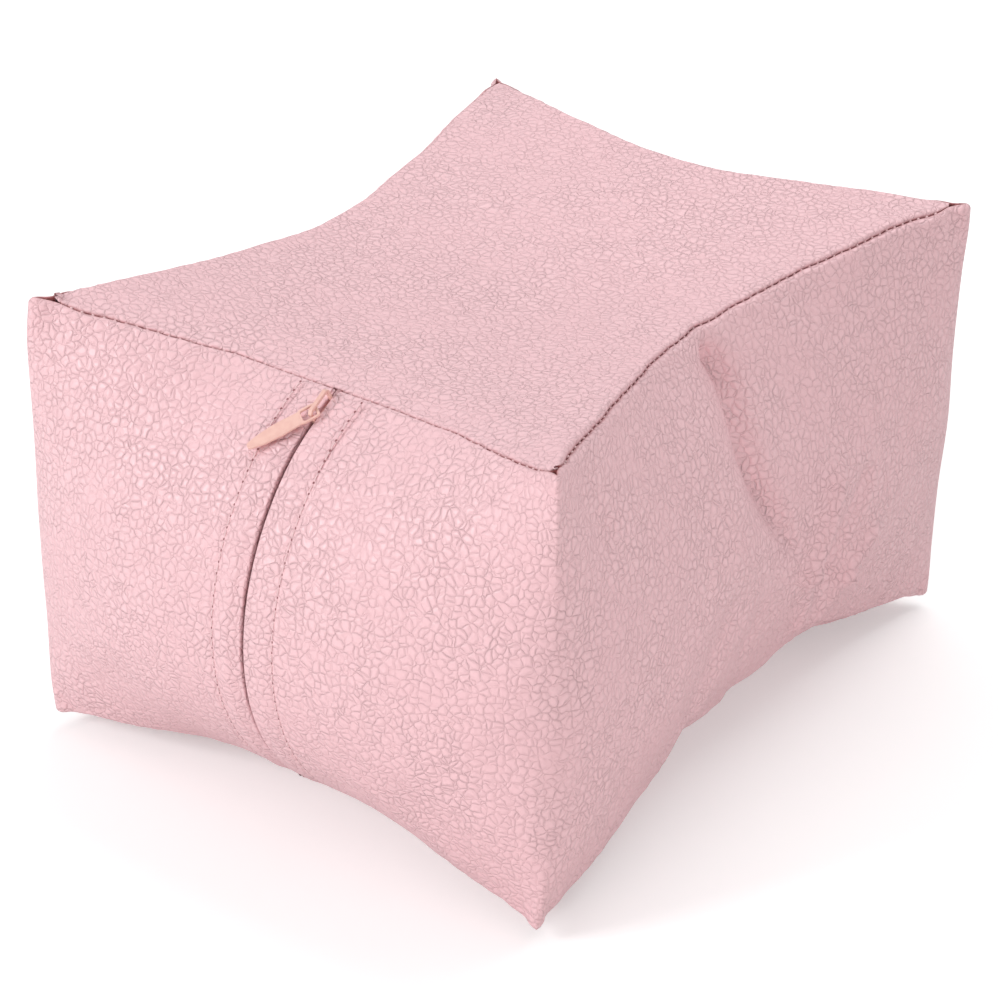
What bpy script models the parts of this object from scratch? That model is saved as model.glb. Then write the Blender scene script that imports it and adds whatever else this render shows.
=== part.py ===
"""Manicure hand rest: a stuffed box cushion in pink imitation leather with a zipper in one end.

Lengths are metres and angles degrees. The origin is on the ground under the middle of the whole
cushion. +X runs across the zipper end, +Y away from the zipper and +Z up, so the zipper end is the
front and faces -Y. Draw-ins and sags are measured at the middle of an edge.
"""

import math

import bmesh
import bpy
from mathutils import Matrix, Vector

# Box that the eight sewn corners span
WIDTH = 0.183
LENGTH = 0.232
HEIGHT = 0.153

# Distance from the middle of that box forward to the middle of the whole cushion, as its front
# swells out further. The parts are modelled round the box and moved back by it at the end.
MIDDLE_SHIFT = 0.0080

# How far the edge seams draw in, toward the middle of the cushion
TOP_FRONT_DRAW = 0.025
TOP_RIGHT_DRAW = 0.028
TOP_BACK_DRAW = 0.024
TOP_LEFT_DRAW = 0.018
BOTTOM_FRONT_DRAW = 0.0075
BOTTOM_RIGHT_DRAW = 0.006
BOTTOM_BACK_DRAW = 0.012
BOTTOM_LEFT_DRAW = 0.009

# How far the top seams sag, and how far the bottom seams rise off the ground
TOP_FRONT_SAG = 0.012
TOP_RIGHT_SAG = 0.010
TOP_BACK_SAG = 0.003
TOP_LEFT_SAG = 0.012
BOTTOM_FRONT_RISE = 0.016
BOTTOM_RIGHT_RISE = 0.025
BOTTOM_BACK_RISE = 0.016
BOTTOM_LEFT_RISE = 0.016

# How far the stuffing swells each face out of the surface that its edges span
FRONT_SWELL = 0.036
RIGHT_SWELL = 0.012
BACK_SWELL = 0.010
LEFT_SWELL = 0.010
TOP_SWELL = 0.005
UPRIGHT_SWELL = 0.007

# How far in from its seams the underside comes down to the ground, and the power of that curve
UNDERSIDE_REACH = 0.060
UNDERSIDE_POWER = 1.2

# Form of the edges: power of the seams' curve, roundness of the upright edges, and how far the
# sewn corners stick out as ears
SEAM_POWER = 1.45
UPRIGHT_ROUNDNESS = 0.08
UPRIGHT_ROUNDNESS_POWER = 1.55
FRONT_BLEND_POWER = 1.3
EAR_REACH = 0.002
EAR_LENGTH = 0.008
EAR_HEIGHT = 0.025

# Valley pressed into the right face: down from the kink in its top seam, then bending to the back
VALLEY_DEPTH = 0.006
VALLEY_WIDTH = 0.007
VALLEY_TOP_PLACE = -0.002
VALLEY_FOOT_PLACE = 0.0275
VALLEY_FOOT_DROP = 0.102
VALLEY_BEND = 2.5
VALLEY_START = 0.012

# Imitation leather, its rolled seam edges and the gap between two pieces that touch
LEATHER = 0.0012
ROLL_RADIUS = 0.0015
ALLOWANCE = 0.0015
TOUCH = 0.0003

# Slit of the zipper, in the front face
SLIT_WIDTH = 0.0018
FOLD_SPACE = 0.0002
PLACKET = 0.013
PLACKET_END = 0.005
STITCH_LINE = 0.010
FLAT_REACH = 0.020

# Zipper chain, sewn behind the slit
COIL_WIDTH = 0.0015
COIL_HEIGHT = 0.0018
TAPE = 0.0005
CHAIN_END = 0.0040
RUNNING = 0.0003

# Slider and its bridge
SLIDER_LENGTH = 0.0096
PLATE = 0.0008
SLIDER_WALL = 0.0006
DIVIDER_WIDTH = 0.0009
DIVIDER_LENGTH = 0.0030
PLATE_DROP = 0.0005
BRIDGE_WIDTH = 0.0012
BRIDGE_STRAP = 0.0010
BRIDGE_LEG = 0.0008

# Pull tab: a leaf with an eye round the bridge's lower leg
TAB_LENGTH = 0.0225
TAB_WIDTH = 0.0052
TAB_TIP_WIDTH = 0.0026
TAB_THICKNESS = 0.0009
TAB_BAR = 0.0009
TAB_ARM = 0.0008
EYE_WIDTH = 0.0038
EYE_LENGTH = 0.0042
TAB_SIDE_ANGLE = 35.0
TAB_LEAN = 2.0

# Threads
SEAM_THREAD = 0.0003
STITCH_THREAD = 0.0005

# Stuffed pad
PAD_EASE = 0.0012
PAD_ROUNDNESS = 10.0
PAD_CUTS = 11

# Mesh: shares of a rolled edge's turn, turns of the fold at the slit, rows up a side, and places of
# the columns along the edges as shares of the half length
ROLL_SHARES = (0.0, 0.33, 0.67, 1.0)
FOLD_TURNS = (45, 90, 135, 180)
SIDE_ROWS = 11
ARC_STEPS = 18
FRONT_COLUMNS = (0.40, 0.60, 0.78, 0.91, 1.0)
SIDE_COLUMNS = (0.0, 0.10, 0.20, 0.30, 0.40, 0.52, 0.66, 0.80, 0.92, 1.0)

HALF_WIDTH = WIDTH / 2
HALF_LENGTH = LENGTH / 2
FLAT_SHARE = FLAT_REACH / HALF_WIDTH

parts = bpy.data.collections.new("manicure_hand_rest")
cutters = bpy.data.collections.new("cutters")


def lerp(t, low, high):
    """Value between low at t = -1 and high at t = +1."""
    return low + (high - low) * (1 + t) / 2


def seam_curve(s):
    """Share of an edge's draw-in at s, which runs from -1 to +1 along the edge."""
    return 1 - abs(s) ** SEAM_POWER


def swell(s, t):
    """Share of a face's swell, full in the middle and none at its edges."""
    return (1 - s * s) * (1 - t * t)


def past_flat(u):
    """Signed share of the way from the flat strip beside the slit to the upright edge."""
    share = max(0.0, abs(u) - FLAT_SHARE) / (1 - FLAT_SHARE)
    return math.copysign(share, u)


def edge_inset(s, t, low, high, start, end):
    """Inset of a face at (s, t) from its four edges: low and high bound t, start and end bound s."""
    return lerp(t, low, high) * seam_curve(s) + lerp(s, start, end) * seam_curve(t)


class ZipArc:
    """Circle in the plane x = 0 that the slit follows, through the middles of both front seams."""

    foot = Vector((BOTTOM_FRONT_DRAW - HALF_LENGTH, BOTTOM_FRONT_RISE))
    head = Vector((TOP_FRONT_DRAW - HALF_LENGTH, HEIGHT - TOP_FRONT_SAG))
    chord = head - foot
    radius = (chord.length_squared / 4 + FRONT_SWELL ** 2) / (2 * FRONT_SWELL)
    outward = Vector((-chord.y, chord.x)).normalized()
    centre = (foot + head) / 2 - outward * (radius - FRONT_SWELL)

    @classmethod
    def y_at(cls, z):
        """Y of the front face at height z, on the flat strip beside the slit."""
        rise = min(abs(z - cls.centre.y), 0.999 * cls.radius)
        return cls.centre.x - math.sqrt(cls.radius ** 2 - rise ** 2)

    @classmethod
    def angle_at(cls, down, end=1):
        """Angle of the point that lies down from the seam at the top (end 1) or bottom (-1)."""
        seam = cls.head if end > 0 else cls.foot
        return math.asin((seam.y - cls.centre.y) / cls.radius) - end * down / cls.radius

    @classmethod
    def point(cls, x, depth, angle):
        """Point at x, depth below the leather's face, at an angle above the centre's level."""
        reach = cls.radius - depth
        return Vector((x, cls.centre.x - reach * math.cos(angle), cls.centre.y + reach * math.sin(angle)))


def front_y(u, w):
    """Y of the front face: the zipper's arc in the middle, blended into the edge seams."""
    past = past_flat(u)
    z = lerp(w, ZipArc.foot.y, ZipArc.head.y)
    edges = edge_inset(past, w, BOTTOM_FRONT_DRAW, TOP_FRONT_DRAW, -UPRIGHT_SWELL, -UPRIGHT_SWELL)
    middle = edge_inset(0, w, BOTTOM_FRONT_DRAW, TOP_FRONT_DRAW, -UPRIGHT_SWELL, -UPRIGHT_SWELL)
    return edges - HALF_LENGTH + (ZipArc.y_at(z) + HALF_LENGTH - middle) * (1 - past ** 2) ** FRONT_BLEND_POWER


def back_y(u, w):
    """Y of the back face."""
    inset = edge_inset(u, w, BOTTOM_BACK_DRAW, TOP_BACK_DRAW, -UPRIGHT_SWELL, -UPRIGHT_SWELL)
    return HALF_LENGTH - inset + BACK_SWELL * swell(u, w)


def valley(v, w):
    """Depth of the narrow valley in the right face."""
    drop = (1 - w) * HEIGHT / 2
    share = drop / VALLEY_FOOT_DROP
    middle = VALLEY_TOP_PLACE + (VALLEY_FOOT_PLACE - VALLEY_TOP_PLACE) * share ** VALLEY_BEND
    across = (v * HALF_LENGTH - middle) / VALLEY_WIDTH
    return VALLEY_DEPTH * math.exp(-across ** 2) * max(0.0, 1 - share ** 3) * min(1.0, drop / VALLEY_START) ** 2


def right_x(v, w):
    """X of the right face."""
    inset = edge_inset(v, w, BOTTOM_RIGHT_DRAW, TOP_RIGHT_DRAW, -UPRIGHT_SWELL, -UPRIGHT_SWELL)
    return HALF_WIDTH - inset + RIGHT_SWELL * swell(v, w) - valley(v, w)


def left_x(v, w):
    """X of the left face."""
    inset = edge_inset(v, w, BOTTOM_LEFT_DRAW, TOP_LEFT_DRAW, -UPRIGHT_SWELL, -UPRIGHT_SWELL)
    return inset - HALF_WIDTH - LEFT_SWELL * swell(v, w)


def top_z(u, v):
    """Z of the top face."""
    inset = edge_inset(past_flat(u), v, TOP_FRONT_SAG, TOP_BACK_SAG, TOP_LEFT_SAG, TOP_RIGHT_SAG)
    return HEIGHT - inset + TOP_SWELL * swell(u, v)


def ground_fade(away):
    """Share of a bottom seam's rise that is left at a distance from it, down to none on the ground."""
    return max(0.0, 1 - away / UNDERSIDE_REACH) ** UNDERSIDE_POWER


def underside_z(u, v):
    """Z of the underside: it rises at the seams and lies flat on the ground in the middle."""
    across, along = seam_curve(past_flat(u)), seam_curve(v)
    rise = BOTTOM_FRONT_RISE * across * ground_fade((1 + v) * HALF_LENGTH)
    rise += BOTTOM_BACK_RISE * across * ground_fade((1 - v) * HALF_LENGTH)
    rise += BOTTOM_LEFT_RISE * along * ground_fade((1 + u) * HALF_WIDTH)
    return rise + BOTTOM_RIGHT_RISE * along * ground_fade((1 - u) * HALF_WIDTH)


def ear(u, v, w):
    """How far a point moves outward along the diagonal near a sewn corner."""
    away = math.hypot((1 - abs(u)) * HALF_WIDTH, (1 - abs(v)) * HALF_LENGTH)
    height = (1 - abs(w)) * HEIGHT / 2
    return EAR_REACH * math.exp(-away / EAR_LENGTH - height / EAR_HEIGHT)


def cushion_point(u, v, w):
    """Point of the stuffed form; u, v and w run from -1 to +1 across, along and up."""
    side = right_x(v, w) - HALF_WIDTH if u > 0 else left_x(v, w) + HALF_WIDTH
    x = u * HALF_WIDTH + side * abs(past_flat(u))
    y = lerp(v, front_y(u, w), back_y(u, w))
    z = lerp(w, underside_z(u, v), top_z(u, v))
    larger = max(abs(u), abs(v), 1e-9)
    smaller = min(abs(u), abs(v))
    softness = max(UPRIGHT_ROUNDNESS * max(0.0, 1 - w * w) ** UPRIGHT_ROUNDNESS_POWER, 1e-3)
    rounding = (1 + (smaller / larger) ** (1 / softness)) ** -softness
    reach = ear(u, v, w) / math.sqrt(2)
    return Vector((x * rounding + math.copysign(reach, u), y * rounding + math.copysign(reach, v), z))


class Seam:
    """Frame of an edge seam at one column: the sheets' directions and normals, and the rolls."""

    def __init__(self, u, v, end):
        step = 1e-4
        self.place = (u, v, end)
        self.origin = cushion_point(u, v, end)
        panel_way = cushion_point(u * (1 - step), v * (1 - step * WIDTH / LENGTH), end) - self.origin
        side_way = cushion_point(u, v, end * (1 - step)) - self.origin
        if abs(u) == 1 and abs(v) == 1:
            self.set_miter(panel_way, side_way)
            return
        if abs(v) == 1:
            tangent = cushion_point(u + step, v, end) - cushion_point(u - step, v, end)
        else:
            tangent = cushion_point(u, v + step, end) - cushion_point(u, v - step, end)
        tangent.normalize()
        panel_across = panel_way - tangent * panel_way.dot(tangent)
        side_across = side_way - tangent * side_way.dot(tangent)
        self.panel = panel_way / panel_across.length
        self.side = side_across.normalized()
        slant = tangent * self.panel.dot(tangent)
        inward = panel_across.normalized()
        self.angle = panel_across.angle(side_across)
        self.panel_normal = tangent.cross(panel_across).normalized()
        if self.panel_normal.z * end > 0:
            self.panel_normal.negate()
        self.side_normal = tangent.cross(side_across).normalized()
        if self.side_normal.dot(inward) < 0:
            self.side_normal.negate()
        self.side += slant * self.side.dot(inward)
        self.side_normal += slant * self.side_normal.dot(inward)

    def set_miter(self, panel_way, side_way):
        """Frame of a corner, where the sections of two edges meet in a miter."""
        inset = min(abs(panel_way.x), abs(panel_way.y))
        miter = Vector((panel_way.x, panel_way.y, 0)) / inset
        up = Vector((0, 0, 1))

        def in_space(flat):
            return miter * flat.x + up * flat.y

        panel = Vector((inset, panel_way.z)).normalized()
        side = Vector((side_way.dot(miter) / miter.length_squared, side_way.z)).normalized()
        panel_normal = Vector((-panel.y, panel.x))
        if panel_normal.dot(side) < 0:
            panel_normal.negate()
        side_normal = Vector((-side.y, side.x))
        if side_normal.dot(panel) < 0:
            side_normal.negate()
        self.angle = math.acos(panel.dot(side))
        self.panel, self.side = in_space(panel), in_space(side)
        self.panel_normal, self.side_normal = in_space(panel_normal), in_space(side_normal)

    def reach(self):
        """Distance from the sewn corner at which a sheet begins to roll."""
        half = self.angle / 2
        return (ROLL_RADIUS + TOUCH / 2 + ROLL_RADIUS * math.cos(half)) / math.sin(half)

    def section(self):
        """Section of a rolled edge, from the sheet to its allowance, as (along, inside)."""
        half = self.angle / 2
        places = []
        for share in ROLL_SHARES:
            turn = share * (math.pi - half)
            places.append((self.reach() - ROLL_RADIUS * math.sin(turn),
                           ROLL_RADIUS * (1 - math.cos(turn))))
        along, inside = places[-1]
        places.append((along + ALLOWANCE * math.cos(half), inside + ALLOWANCE * math.sin(half)))
        return places

    def panel_point(self, step):
        """Point of the panel's rolled edge at one step of its section."""
        along, inside = self.section()[step]
        return self.origin + self.panel * along + self.panel_normal * inside

    def side_point(self, step):
        """Point of the band's rolled edge at one step of its section."""
        along, inside = self.section()[step]
        return self.origin + self.side * along + self.side_normal * inside

    def groove_point(self, depth):
        """Point on the line where both sheets meet, depth outside the centres of their rolls."""
        half = self.angle / 2
        inward = self.reach() * math.cos(half) + ROLL_RADIUS * math.sin(half) - depth
        return self.origin + (self.panel * math.cos(half) + self.panel_normal * math.sin(half)) * inward

    def end_share(self):
        """Share w of the level where the band's rolled edge has ended."""
        u, v, end = self.place
        step = 0.02
        rise = (cushion_point(u, v, end) - cushion_point(u, v, end * (1 - step))).length
        return end * (1 - step * PLACKET_END / rise)


def front_shares():
    """Places of the columns across the width, from -1 to +1."""
    half = [(SLIT_WIDTH / 2 + LEATHER + FOLD_SPACE / 2) / HALF_WIDTH, PLACKET / HALF_WIDTH, FLAT_SHARE]
    half += FRONT_COLUMNS
    return [-share for share in reversed(half)] + half


def side_shares():
    """Places of the columns along the length, from -1 to +1."""
    return [-share for share in reversed(SIDE_COLUMNS[1:])] + list(SIDE_COLUMNS)


def leather(name, colour, roughness):
    """Satin imitation leather."""
    material = bpy.data.materials.new(name)
    material.use_nodes = True
    shader = material.node_tree.nodes["Principled BSDF"]
    shader.inputs["Base Color"].default_value = (*colour, 1)
    shader.inputs["Roughness"].default_value = roughness
    shader.inputs["Metallic"].default_value = 0.0
    return material


def plain_material(name, colour, roughness, metallic=0.0):
    """Plain material for cloth, thread, nylon and metal."""
    material = leather(name, colour, roughness)
    material.node_tree.nodes["Principled BSDF"].inputs["Metallic"].default_value = metallic
    return material


def add_part(name, mesh, material, smooth=True):
    """Link a mesh as a named part."""
    mesh.name = name
    mesh.materials.append(material)
    if smooth:
        mesh.shade_smooth()
        mesh.set_sharp_from_angle(angle=math.radians(50))
    part = bpy.data.objects.new(name, mesh)
    parts.objects.link(part)
    return part


def thicken(part):
    """Give a leather sheet its thickness, inward from its outer face."""
    solid = part.modifiers.new("leather", "SOLIDIFY")
    solid.thickness = LEATHER
    solid.offset = -1
    solid.use_even_offset = True
    solid.use_quality_normals = True


def grid_mesh(columns, rows, place):
    """Grid primitive whose vertex in column i and row j moves to place(i, j)."""
    form = bmesh.new()
    bmesh.ops.create_grid(form, x_segments=columns - 1, y_segments=rows - 1, size=1.0)
    for vertex in form.verts:
        column = round((vertex.co.x + 1) / 2 * (columns - 1))
        row = round((vertex.co.y + 1) / 2 * (rows - 1))
        vertex.co = place(column, row)
    return form


def finish_mesh(form, name):
    """Turn a bmesh into a mesh."""
    mesh = bpy.data.meshes.new(name)
    form.to_mesh(mesh)
    form.free()
    return mesh


def build_panel(name, end, material):
    """Top (end 1) or bottom (end -1) panel: a sheet whose four edges roll into the seams."""
    across, along = front_shares(), side_shares()
    form = bmesh.new()
    bmesh.ops.create_grid(form, x_segments=len(across) - 1, y_segments=len(along) - 1, size=1.0)
    seams = {}
    for vertex in form.verts:
        u = across[round((vertex.co.x + 1) / 2 * (len(across) - 1))]
        v = along[round((vertex.co.y + 1) / 2 * (len(along) - 1))]
        if vertex.is_boundary:
            seams[vertex] = Seam(u, v, end)
            vertex.co = seams[vertex].panel_point(0)
        else:
            vertex.co = cushion_point(u, v, end)
    rim = [edge for edge in form.edges if edge.is_boundary]
    for step in range(1, len(ROLL_SHARES) + 1):
        ring = bmesh.ops.extrude_edge_only(form, edges=rim)["geom"]
        rim = [item for item in ring if isinstance(item, bmesh.types.BMEdge) and item.is_boundary]
        rolled = {}
        for vertex in [item for item in ring if isinstance(item, bmesh.types.BMVert)]:
            rolled[vertex] = next(seams[edge.other_vert(vertex)] for edge in vertex.link_edges
                                  if edge.other_vert(vertex) in seams)
        for vertex, seam in rolled.items():
            vertex.co = seam.panel_point(step)
        seams = rolled
    if end < 0:
        bmesh.ops.reverse_faces(form, faces=form.faces)
    panel = add_part(name, finish_mesh(form, name), material)
    thicken(panel)
    return panel


def build_band(material):
    """Side band: one strip round the four sides, its ends folded back beside the slit."""
    low, high = ZipArc.angle_at(PLACKET_END, -1), ZipArc.angle_at(PLACKET_END, 1)
    angles = [low + (high - low) * step / (SIDE_ROWS - 1) for step in range(SIDE_ROWS)]
    roll = range(len(ROLL_SHARES) + 1)
    rows = [("bottom", step) for step in reversed(roll)] + [("face", angle) for angle in angles]
    rows += [("top", step) for step in roll]
    fold_radius = LEATHER + FOLD_SPACE / 2

    across, along = front_shares(), side_shares()
    half = len(across) // 2
    ring = [(u, -1) for u in across[half:]]
    ring += [(1, v) for v in along[1:]]
    ring += [(u, 1) for u in reversed(across[:-1])]
    ring += [(-1, v) for v in reversed(along[:-1])]
    ring += [(u, -1) for u in across[1:half]]

    turns = [math.radians(turn) for turn in FOLD_TURNS]
    edge = SLIT_WIDTH / 2 + fold_radius
    fold = [(edge - fold_radius * math.sin(turn), fold_radius * (1 - math.cos(turn))) for turn in turns]
    fold.append((PLACKET, 2 * fold_radius))
    columns = [(1, x, depth) for x, depth in reversed(fold)]
    columns += [(Seam(u, v, -1), Seam(u, v, 1)) for u, v in ring]
    columns += [(-1, x, depth) for x, depth in fold]

    def place(column, row):
        kind, level = rows[row]
        if len(columns[column]) == 3:
            side, x, depth = columns[column]
            angle = level if kind == "face" else (low if kind == "bottom" else high)
            return ZipArc.point(side * x, depth, angle)
        foot, head = columns[column]
        if kind == "bottom":
            return foot.side_point(level)
        if kind == "top":
            return head.side_point(level)
        u, v, end = head.place
        if v == -1 and abs(u) <= FLAT_SHARE:
            return ZipArc.point(u * HALF_WIDTH, 0, level)
        share = (math.sin(level) - math.sin(low)) / (math.sin(high) - math.sin(low))
        return cushion_point(u, v, lerp(2 * share - 1, foot.end_share(), head.end_share()))

    form = grid_mesh(len(columns), len(rows), place)
    form.faces.ensure_lookup_table()
    loose = []
    folds = len(fold)
    for face in form.faces:
        row, column = divmod(face.index, len(columns) - 1)
        in_fold = column < folds or column >= len(columns) - 1 - folds
        in_roll = row < len(roll) or row >= len(rows) - 1 - len(roll)
        if in_fold and in_roll:
            loose.append(face)
    bmesh.ops.delete(form, geom=loose, context="FACES")
    band = add_part("side_band", finish_mesh(form, "side_band"), material)
    thicken(band)
    return band


def build_pad(material):
    """Stuffed pad that fills the cover, dented behind the zipper."""
    form = bmesh.new()
    bmesh.ops.create_cube(form, size=2.0)
    bmesh.ops.subdivide_edges(form, edges=form.edges[:], cuts=PAD_CUTS, use_grid_fill=True)
    inset = LEATHER + PAD_EASE
    for vertex in form.verts:
        u, v, w = vertex.co
        norm = sum(abs(value) ** PAD_ROUNDNESS for value in (u, v, w)) ** (1 / PAD_ROUNDNESS)
        u, v, w = u / norm, v / norm, w / norm
        right_inset = inset + VALLEY_DEPTH * max(0.0, u) ** 6
        x_scale = 1 - 2 * right_inset / WIDTH
        y_scale = 1 - 2 * inset / LENGTH
        place = cushion_point(u * x_scale, v * y_scale, w * (1 - 2 * inset / HEIGHT))
        vertex.co = clear_of_zip(place)
    bmesh.ops.recalc_face_normals(form, faces=form.faces)
    return add_part("inner_cushion", finish_mesh(form, "inner_cushion"), material)


def clear_of_zip(place):
    """Point of the pad, moved in toward the arc's centre where it would touch the zipper."""
    spoke = place.yz - ZipArc.centre
    angle = math.atan2(spoke.y, -spoke.x)
    past_end = max(0.0, angle - ZipArc.angle_at(0), ZipArc.angle_at(0, -1) - angle) * ZipArc.radius
    past_side = max(0.0, abs(place.x) - PLACKET)
    share = max(0.0, 1 - past_side / PLACKET) * max(0.0, 1 - past_end / PLACKET)
    limit = ZipArc.radius - chain_depth() * share
    if share > 0 and spoke.length > limit:
        spoke *= limit / spoke.length
    return Vector((place.x, *(ZipArc.centre + spoke)))


def slider_depths():
    """Depths below the leather's face of the slider's layers, from the outside inward."""
    plate_top = 2 * LEATHER + FOLD_SPACE + PLATE_DROP
    coil_top = plate_top + PLATE + RUNNING
    tape_top = coil_top + COIL_HEIGHT + TOUCH / 3
    lower_plate = tape_top + TAPE + RUNNING
    return {"plate": plate_top, "coil": coil_top, "tape": tape_top, "lower_plate": lower_plate,
            "bottom": lower_plate + PLATE}


def chain_depth():
    """Depth that the pad keeps clear behind the slit."""
    return slider_depths()["bottom"] + 2 * RUNNING


def arc_sweep(name, profile, material):
    """Solid swept along the zipper's arc from a closed profile of (x, depth) points."""
    start, end = ZipArc.angle_at(CHAIN_END, -1), ZipArc.angle_at(CHAIN_END, 1)
    form = bmesh.new()
    face = form.faces.new([form.verts.new(ZipArc.point(x, depth, start)) for x, depth in profile])
    bmesh.ops.spin(form, geom=[face, *face.edges, *face.verts], cent=(0, *ZipArc.centre), axis=(-1, 0, 0),
                   angle=end - start, steps=ARC_STEPS, use_duplicate=False)
    bmesh.ops.recalc_face_normals(form, faces=form.faces)
    return add_part(name, finish_mesh(form, name), material)


def build_chain(side, name, tape_material, coil_material):
    """Tape and coil of one zipper half; side is -1 on the left and +1 on the right."""
    depths = slider_depths()
    inner = DIVIDER_WIDTH / 2 + RUNNING
    outer = inner + COIL_WIDTH
    corner = COIL_WIDTH / 4
    top, bottom = depths["coil"], depths["coil"] + COIL_HEIGHT
    section = [(inner + corner, top), (outer - corner, top), (outer, top + corner), (outer, bottom - corner),
               (outer - corner, bottom), (inner + corner, bottom), (inner, bottom - corner),
               (inner, top + corner)]
    arc_sweep(f"zipper_coil_{name}", [(side * x, depth) for x, depth in section], coil_material)

    sewn_top = 2 * LEATHER + FOLD_SPACE + 2 * TOUCH
    bend = outer + SLIDER_WALL + 4 * RUNNING
    climb = depths["tape"] - sewn_top
    tape_top = [(inner, depths["tape"]), (bend, depths["tape"]), (bend + climb, sewn_top),
                (PLACKET, sewn_top)]
    tape_bottom = [(PLACKET, sewn_top + TAPE), (bend + climb + TAPE / 2, sewn_top + TAPE),
                   (bend + TAPE / 2, depths["tape"] + TAPE), (inner, depths["tape"] + TAPE)]
    outline = tape_top + tape_bottom
    arc_sweep(f"zipper_tape_{name}", [(side * x, depth) for x, depth in outline], tape_material)


def box(name, x, y, z):
    """Cutter or operand box from three (low, high) ranges."""
    form = bmesh.new()
    size = [high - low for low, high in (x, y, z)]
    middle = [(low + high) / 2 for low, high in (x, y, z)]
    matrix = Matrix.Translation(middle) @ Matrix.Diagonal((*size, 1))
    bmesh.ops.create_cube(form, size=1.0, matrix=matrix)
    mesh = finish_mesh(form, name)
    guide = bpy.data.objects.new(name, mesh)
    guide.hide_render = True
    guide.display_type = "WIRE"
    cutters.objects.link(guide)
    return guide


def combine(part, guide, operation):
    """Boolean between a part and a guide."""
    step = part.modifiers.new(guide.name, "BOOLEAN")
    step.operation = operation
    step.solver = "EXACT"
    step.object = guide


def slider_angle():
    """Angle of the slider's middle on the zipper's arc, with its upper end at the chain's end."""
    return ZipArc.angle_at(CHAIN_END + SLIDER_LENGTH / 2)


def build_slider(material):
    """Slider closed at the top of the slit; its frame is the arc's centre turned to the slider."""
    hub = bpy.data.objects.new("zip_arc_centre", None)
    hub.location = (0, *ZipArc.centre)
    hub.rotation_euler = (-slider_angle(), 0, 0)
    parts.objects.link(hub)

    depths = slider_depths()
    face = -ZipArc.radius
    half = SLIDER_LENGTH / 2
    channel = DIVIDER_WIDTH / 2 + RUNNING + COIL_WIDTH + RUNNING
    outer = channel + SLIDER_WALL
    slot_top = depths["tape"] - RUNNING

    form = bmesh.new()
    middle = face + (depths["plate"] + depths["bottom"]) / 2
    size = (2 * outer, depths["bottom"] - depths["plate"], SLIDER_LENGTH)
    matrix = Matrix.Translation((0, middle, 0)) @ Matrix.Diagonal((*size, 1))
    bmesh.ops.create_cube(form, size=1.0, matrix=matrix)
    slider = add_part("zipper_slider", finish_mesh(form, "zipper_slider"), material, smooth=False)
    slider.parent = hub

    plate_under = face + depths["plate"] + PLATE
    lower_top = face + depths["lower_plate"]
    past_end = half + PLATE
    guides = []
    for side in (-1, 1):
        inner_x, channel_x, outside_x = side * DIVIDER_WIDTH / 2, side * channel, side * (outer + PLATE)
        guides.append(box(f"coil_channel_{side}", sorted((inner_x, channel_x)), (plate_under, lower_top),
                          (-past_end, past_end)))
        guides.append(box(f"tape_slot_{side}", sorted((inner_x, outside_x)), (face + slot_top, lower_top),
                          (-past_end, past_end)))
    guides.append(box("below_divider", (-DIVIDER_WIDTH, DIVIDER_WIDTH), (plate_under, lower_top),
                      (-past_end, half - DIVIDER_LENGTH)))
    for guide in guides:
        guide.parent = hub
        combine(slider, guide, "DIFFERENCE")

    bridge = bridge_outline()
    bridge.parent = hub
    combine(slider, bridge, "UNION")
    return hub


def tab_height():
    """Height of the pull tab's lower face above the leather."""
    return TOUCH


def bridge_outline():
    """Bridge of the slider: an arch that stands out through the slit, above the pull tab."""
    half = SLIDER_LENGTH / 2 - TOUCH / 3
    face = -ZipArc.radius
    root = face + slider_depths()["plate"] + PLATE / 2
    strap_under = face - tab_height() - TAB_THICKNESS - RUNNING
    strap_top = strap_under - BRIDGE_STRAP
    shoulder = BRIDGE_STRAP
    outline = [(root, -half), (strap_top + shoulder, -half), (strap_top, -half + shoulder),
               (strap_top, half - shoulder), (strap_top + shoulder, half), (root, half),
               (root, half - BRIDGE_LEG), (strap_under, half - BRIDGE_LEG),
               (strap_under, -half + BRIDGE_LEG), (root, -half + BRIDGE_LEG)]
    curve = bpy.data.curves.new("bridge_curve", "CURVE")
    curve.dimensions = "2D"
    curve.fill_mode = "BOTH"
    curve.extrude = BRIDGE_WIDTH / 2
    spline = curve.splines.new("POLY")
    spline.points.add(len(outline) - 1)
    for point, (out, up) in zip(spline.points, outline):
        point.co = (out, up, 0, 1)
    spline.use_cyclic_u = True
    guide = mesh_from_curve("bridge", curve)
    # The outline's own plane turns to stand upright in the plane of the slit
    guide.data.transform(Matrix(((0, 0, 1, 0), (1, 0, 0, 0), (0, 1, 0, 0), (0, 0, 0, 1))))
    guide.hide_render = True
    guide.display_type = "WIRE"
    cutters.objects.link(guide)
    return guide


def mesh_from_curve(name, curve):
    """Mesh object with welded caps, from a curve."""
    source = bpy.data.objects.new(name + "_outline", curve)
    bpy.context.scene.collection.objects.link(source)
    bpy.context.view_layer.update()
    mesh = bpy.data.meshes.new_from_object(source.evaluated_get(bpy.context.evaluated_depsgraph_get()))
    form = bmesh.new()
    form.from_mesh(mesh)
    bmesh.ops.remove_doubles(form, verts=form.verts, dist=1e-6)
    bmesh.ops.recalc_face_normals(form, faces=form.faces)
    form.to_mesh(mesh)
    form.free()
    bpy.data.objects.remove(source)
    mesh.name = name
    return bpy.data.objects.new(name, mesh)


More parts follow.
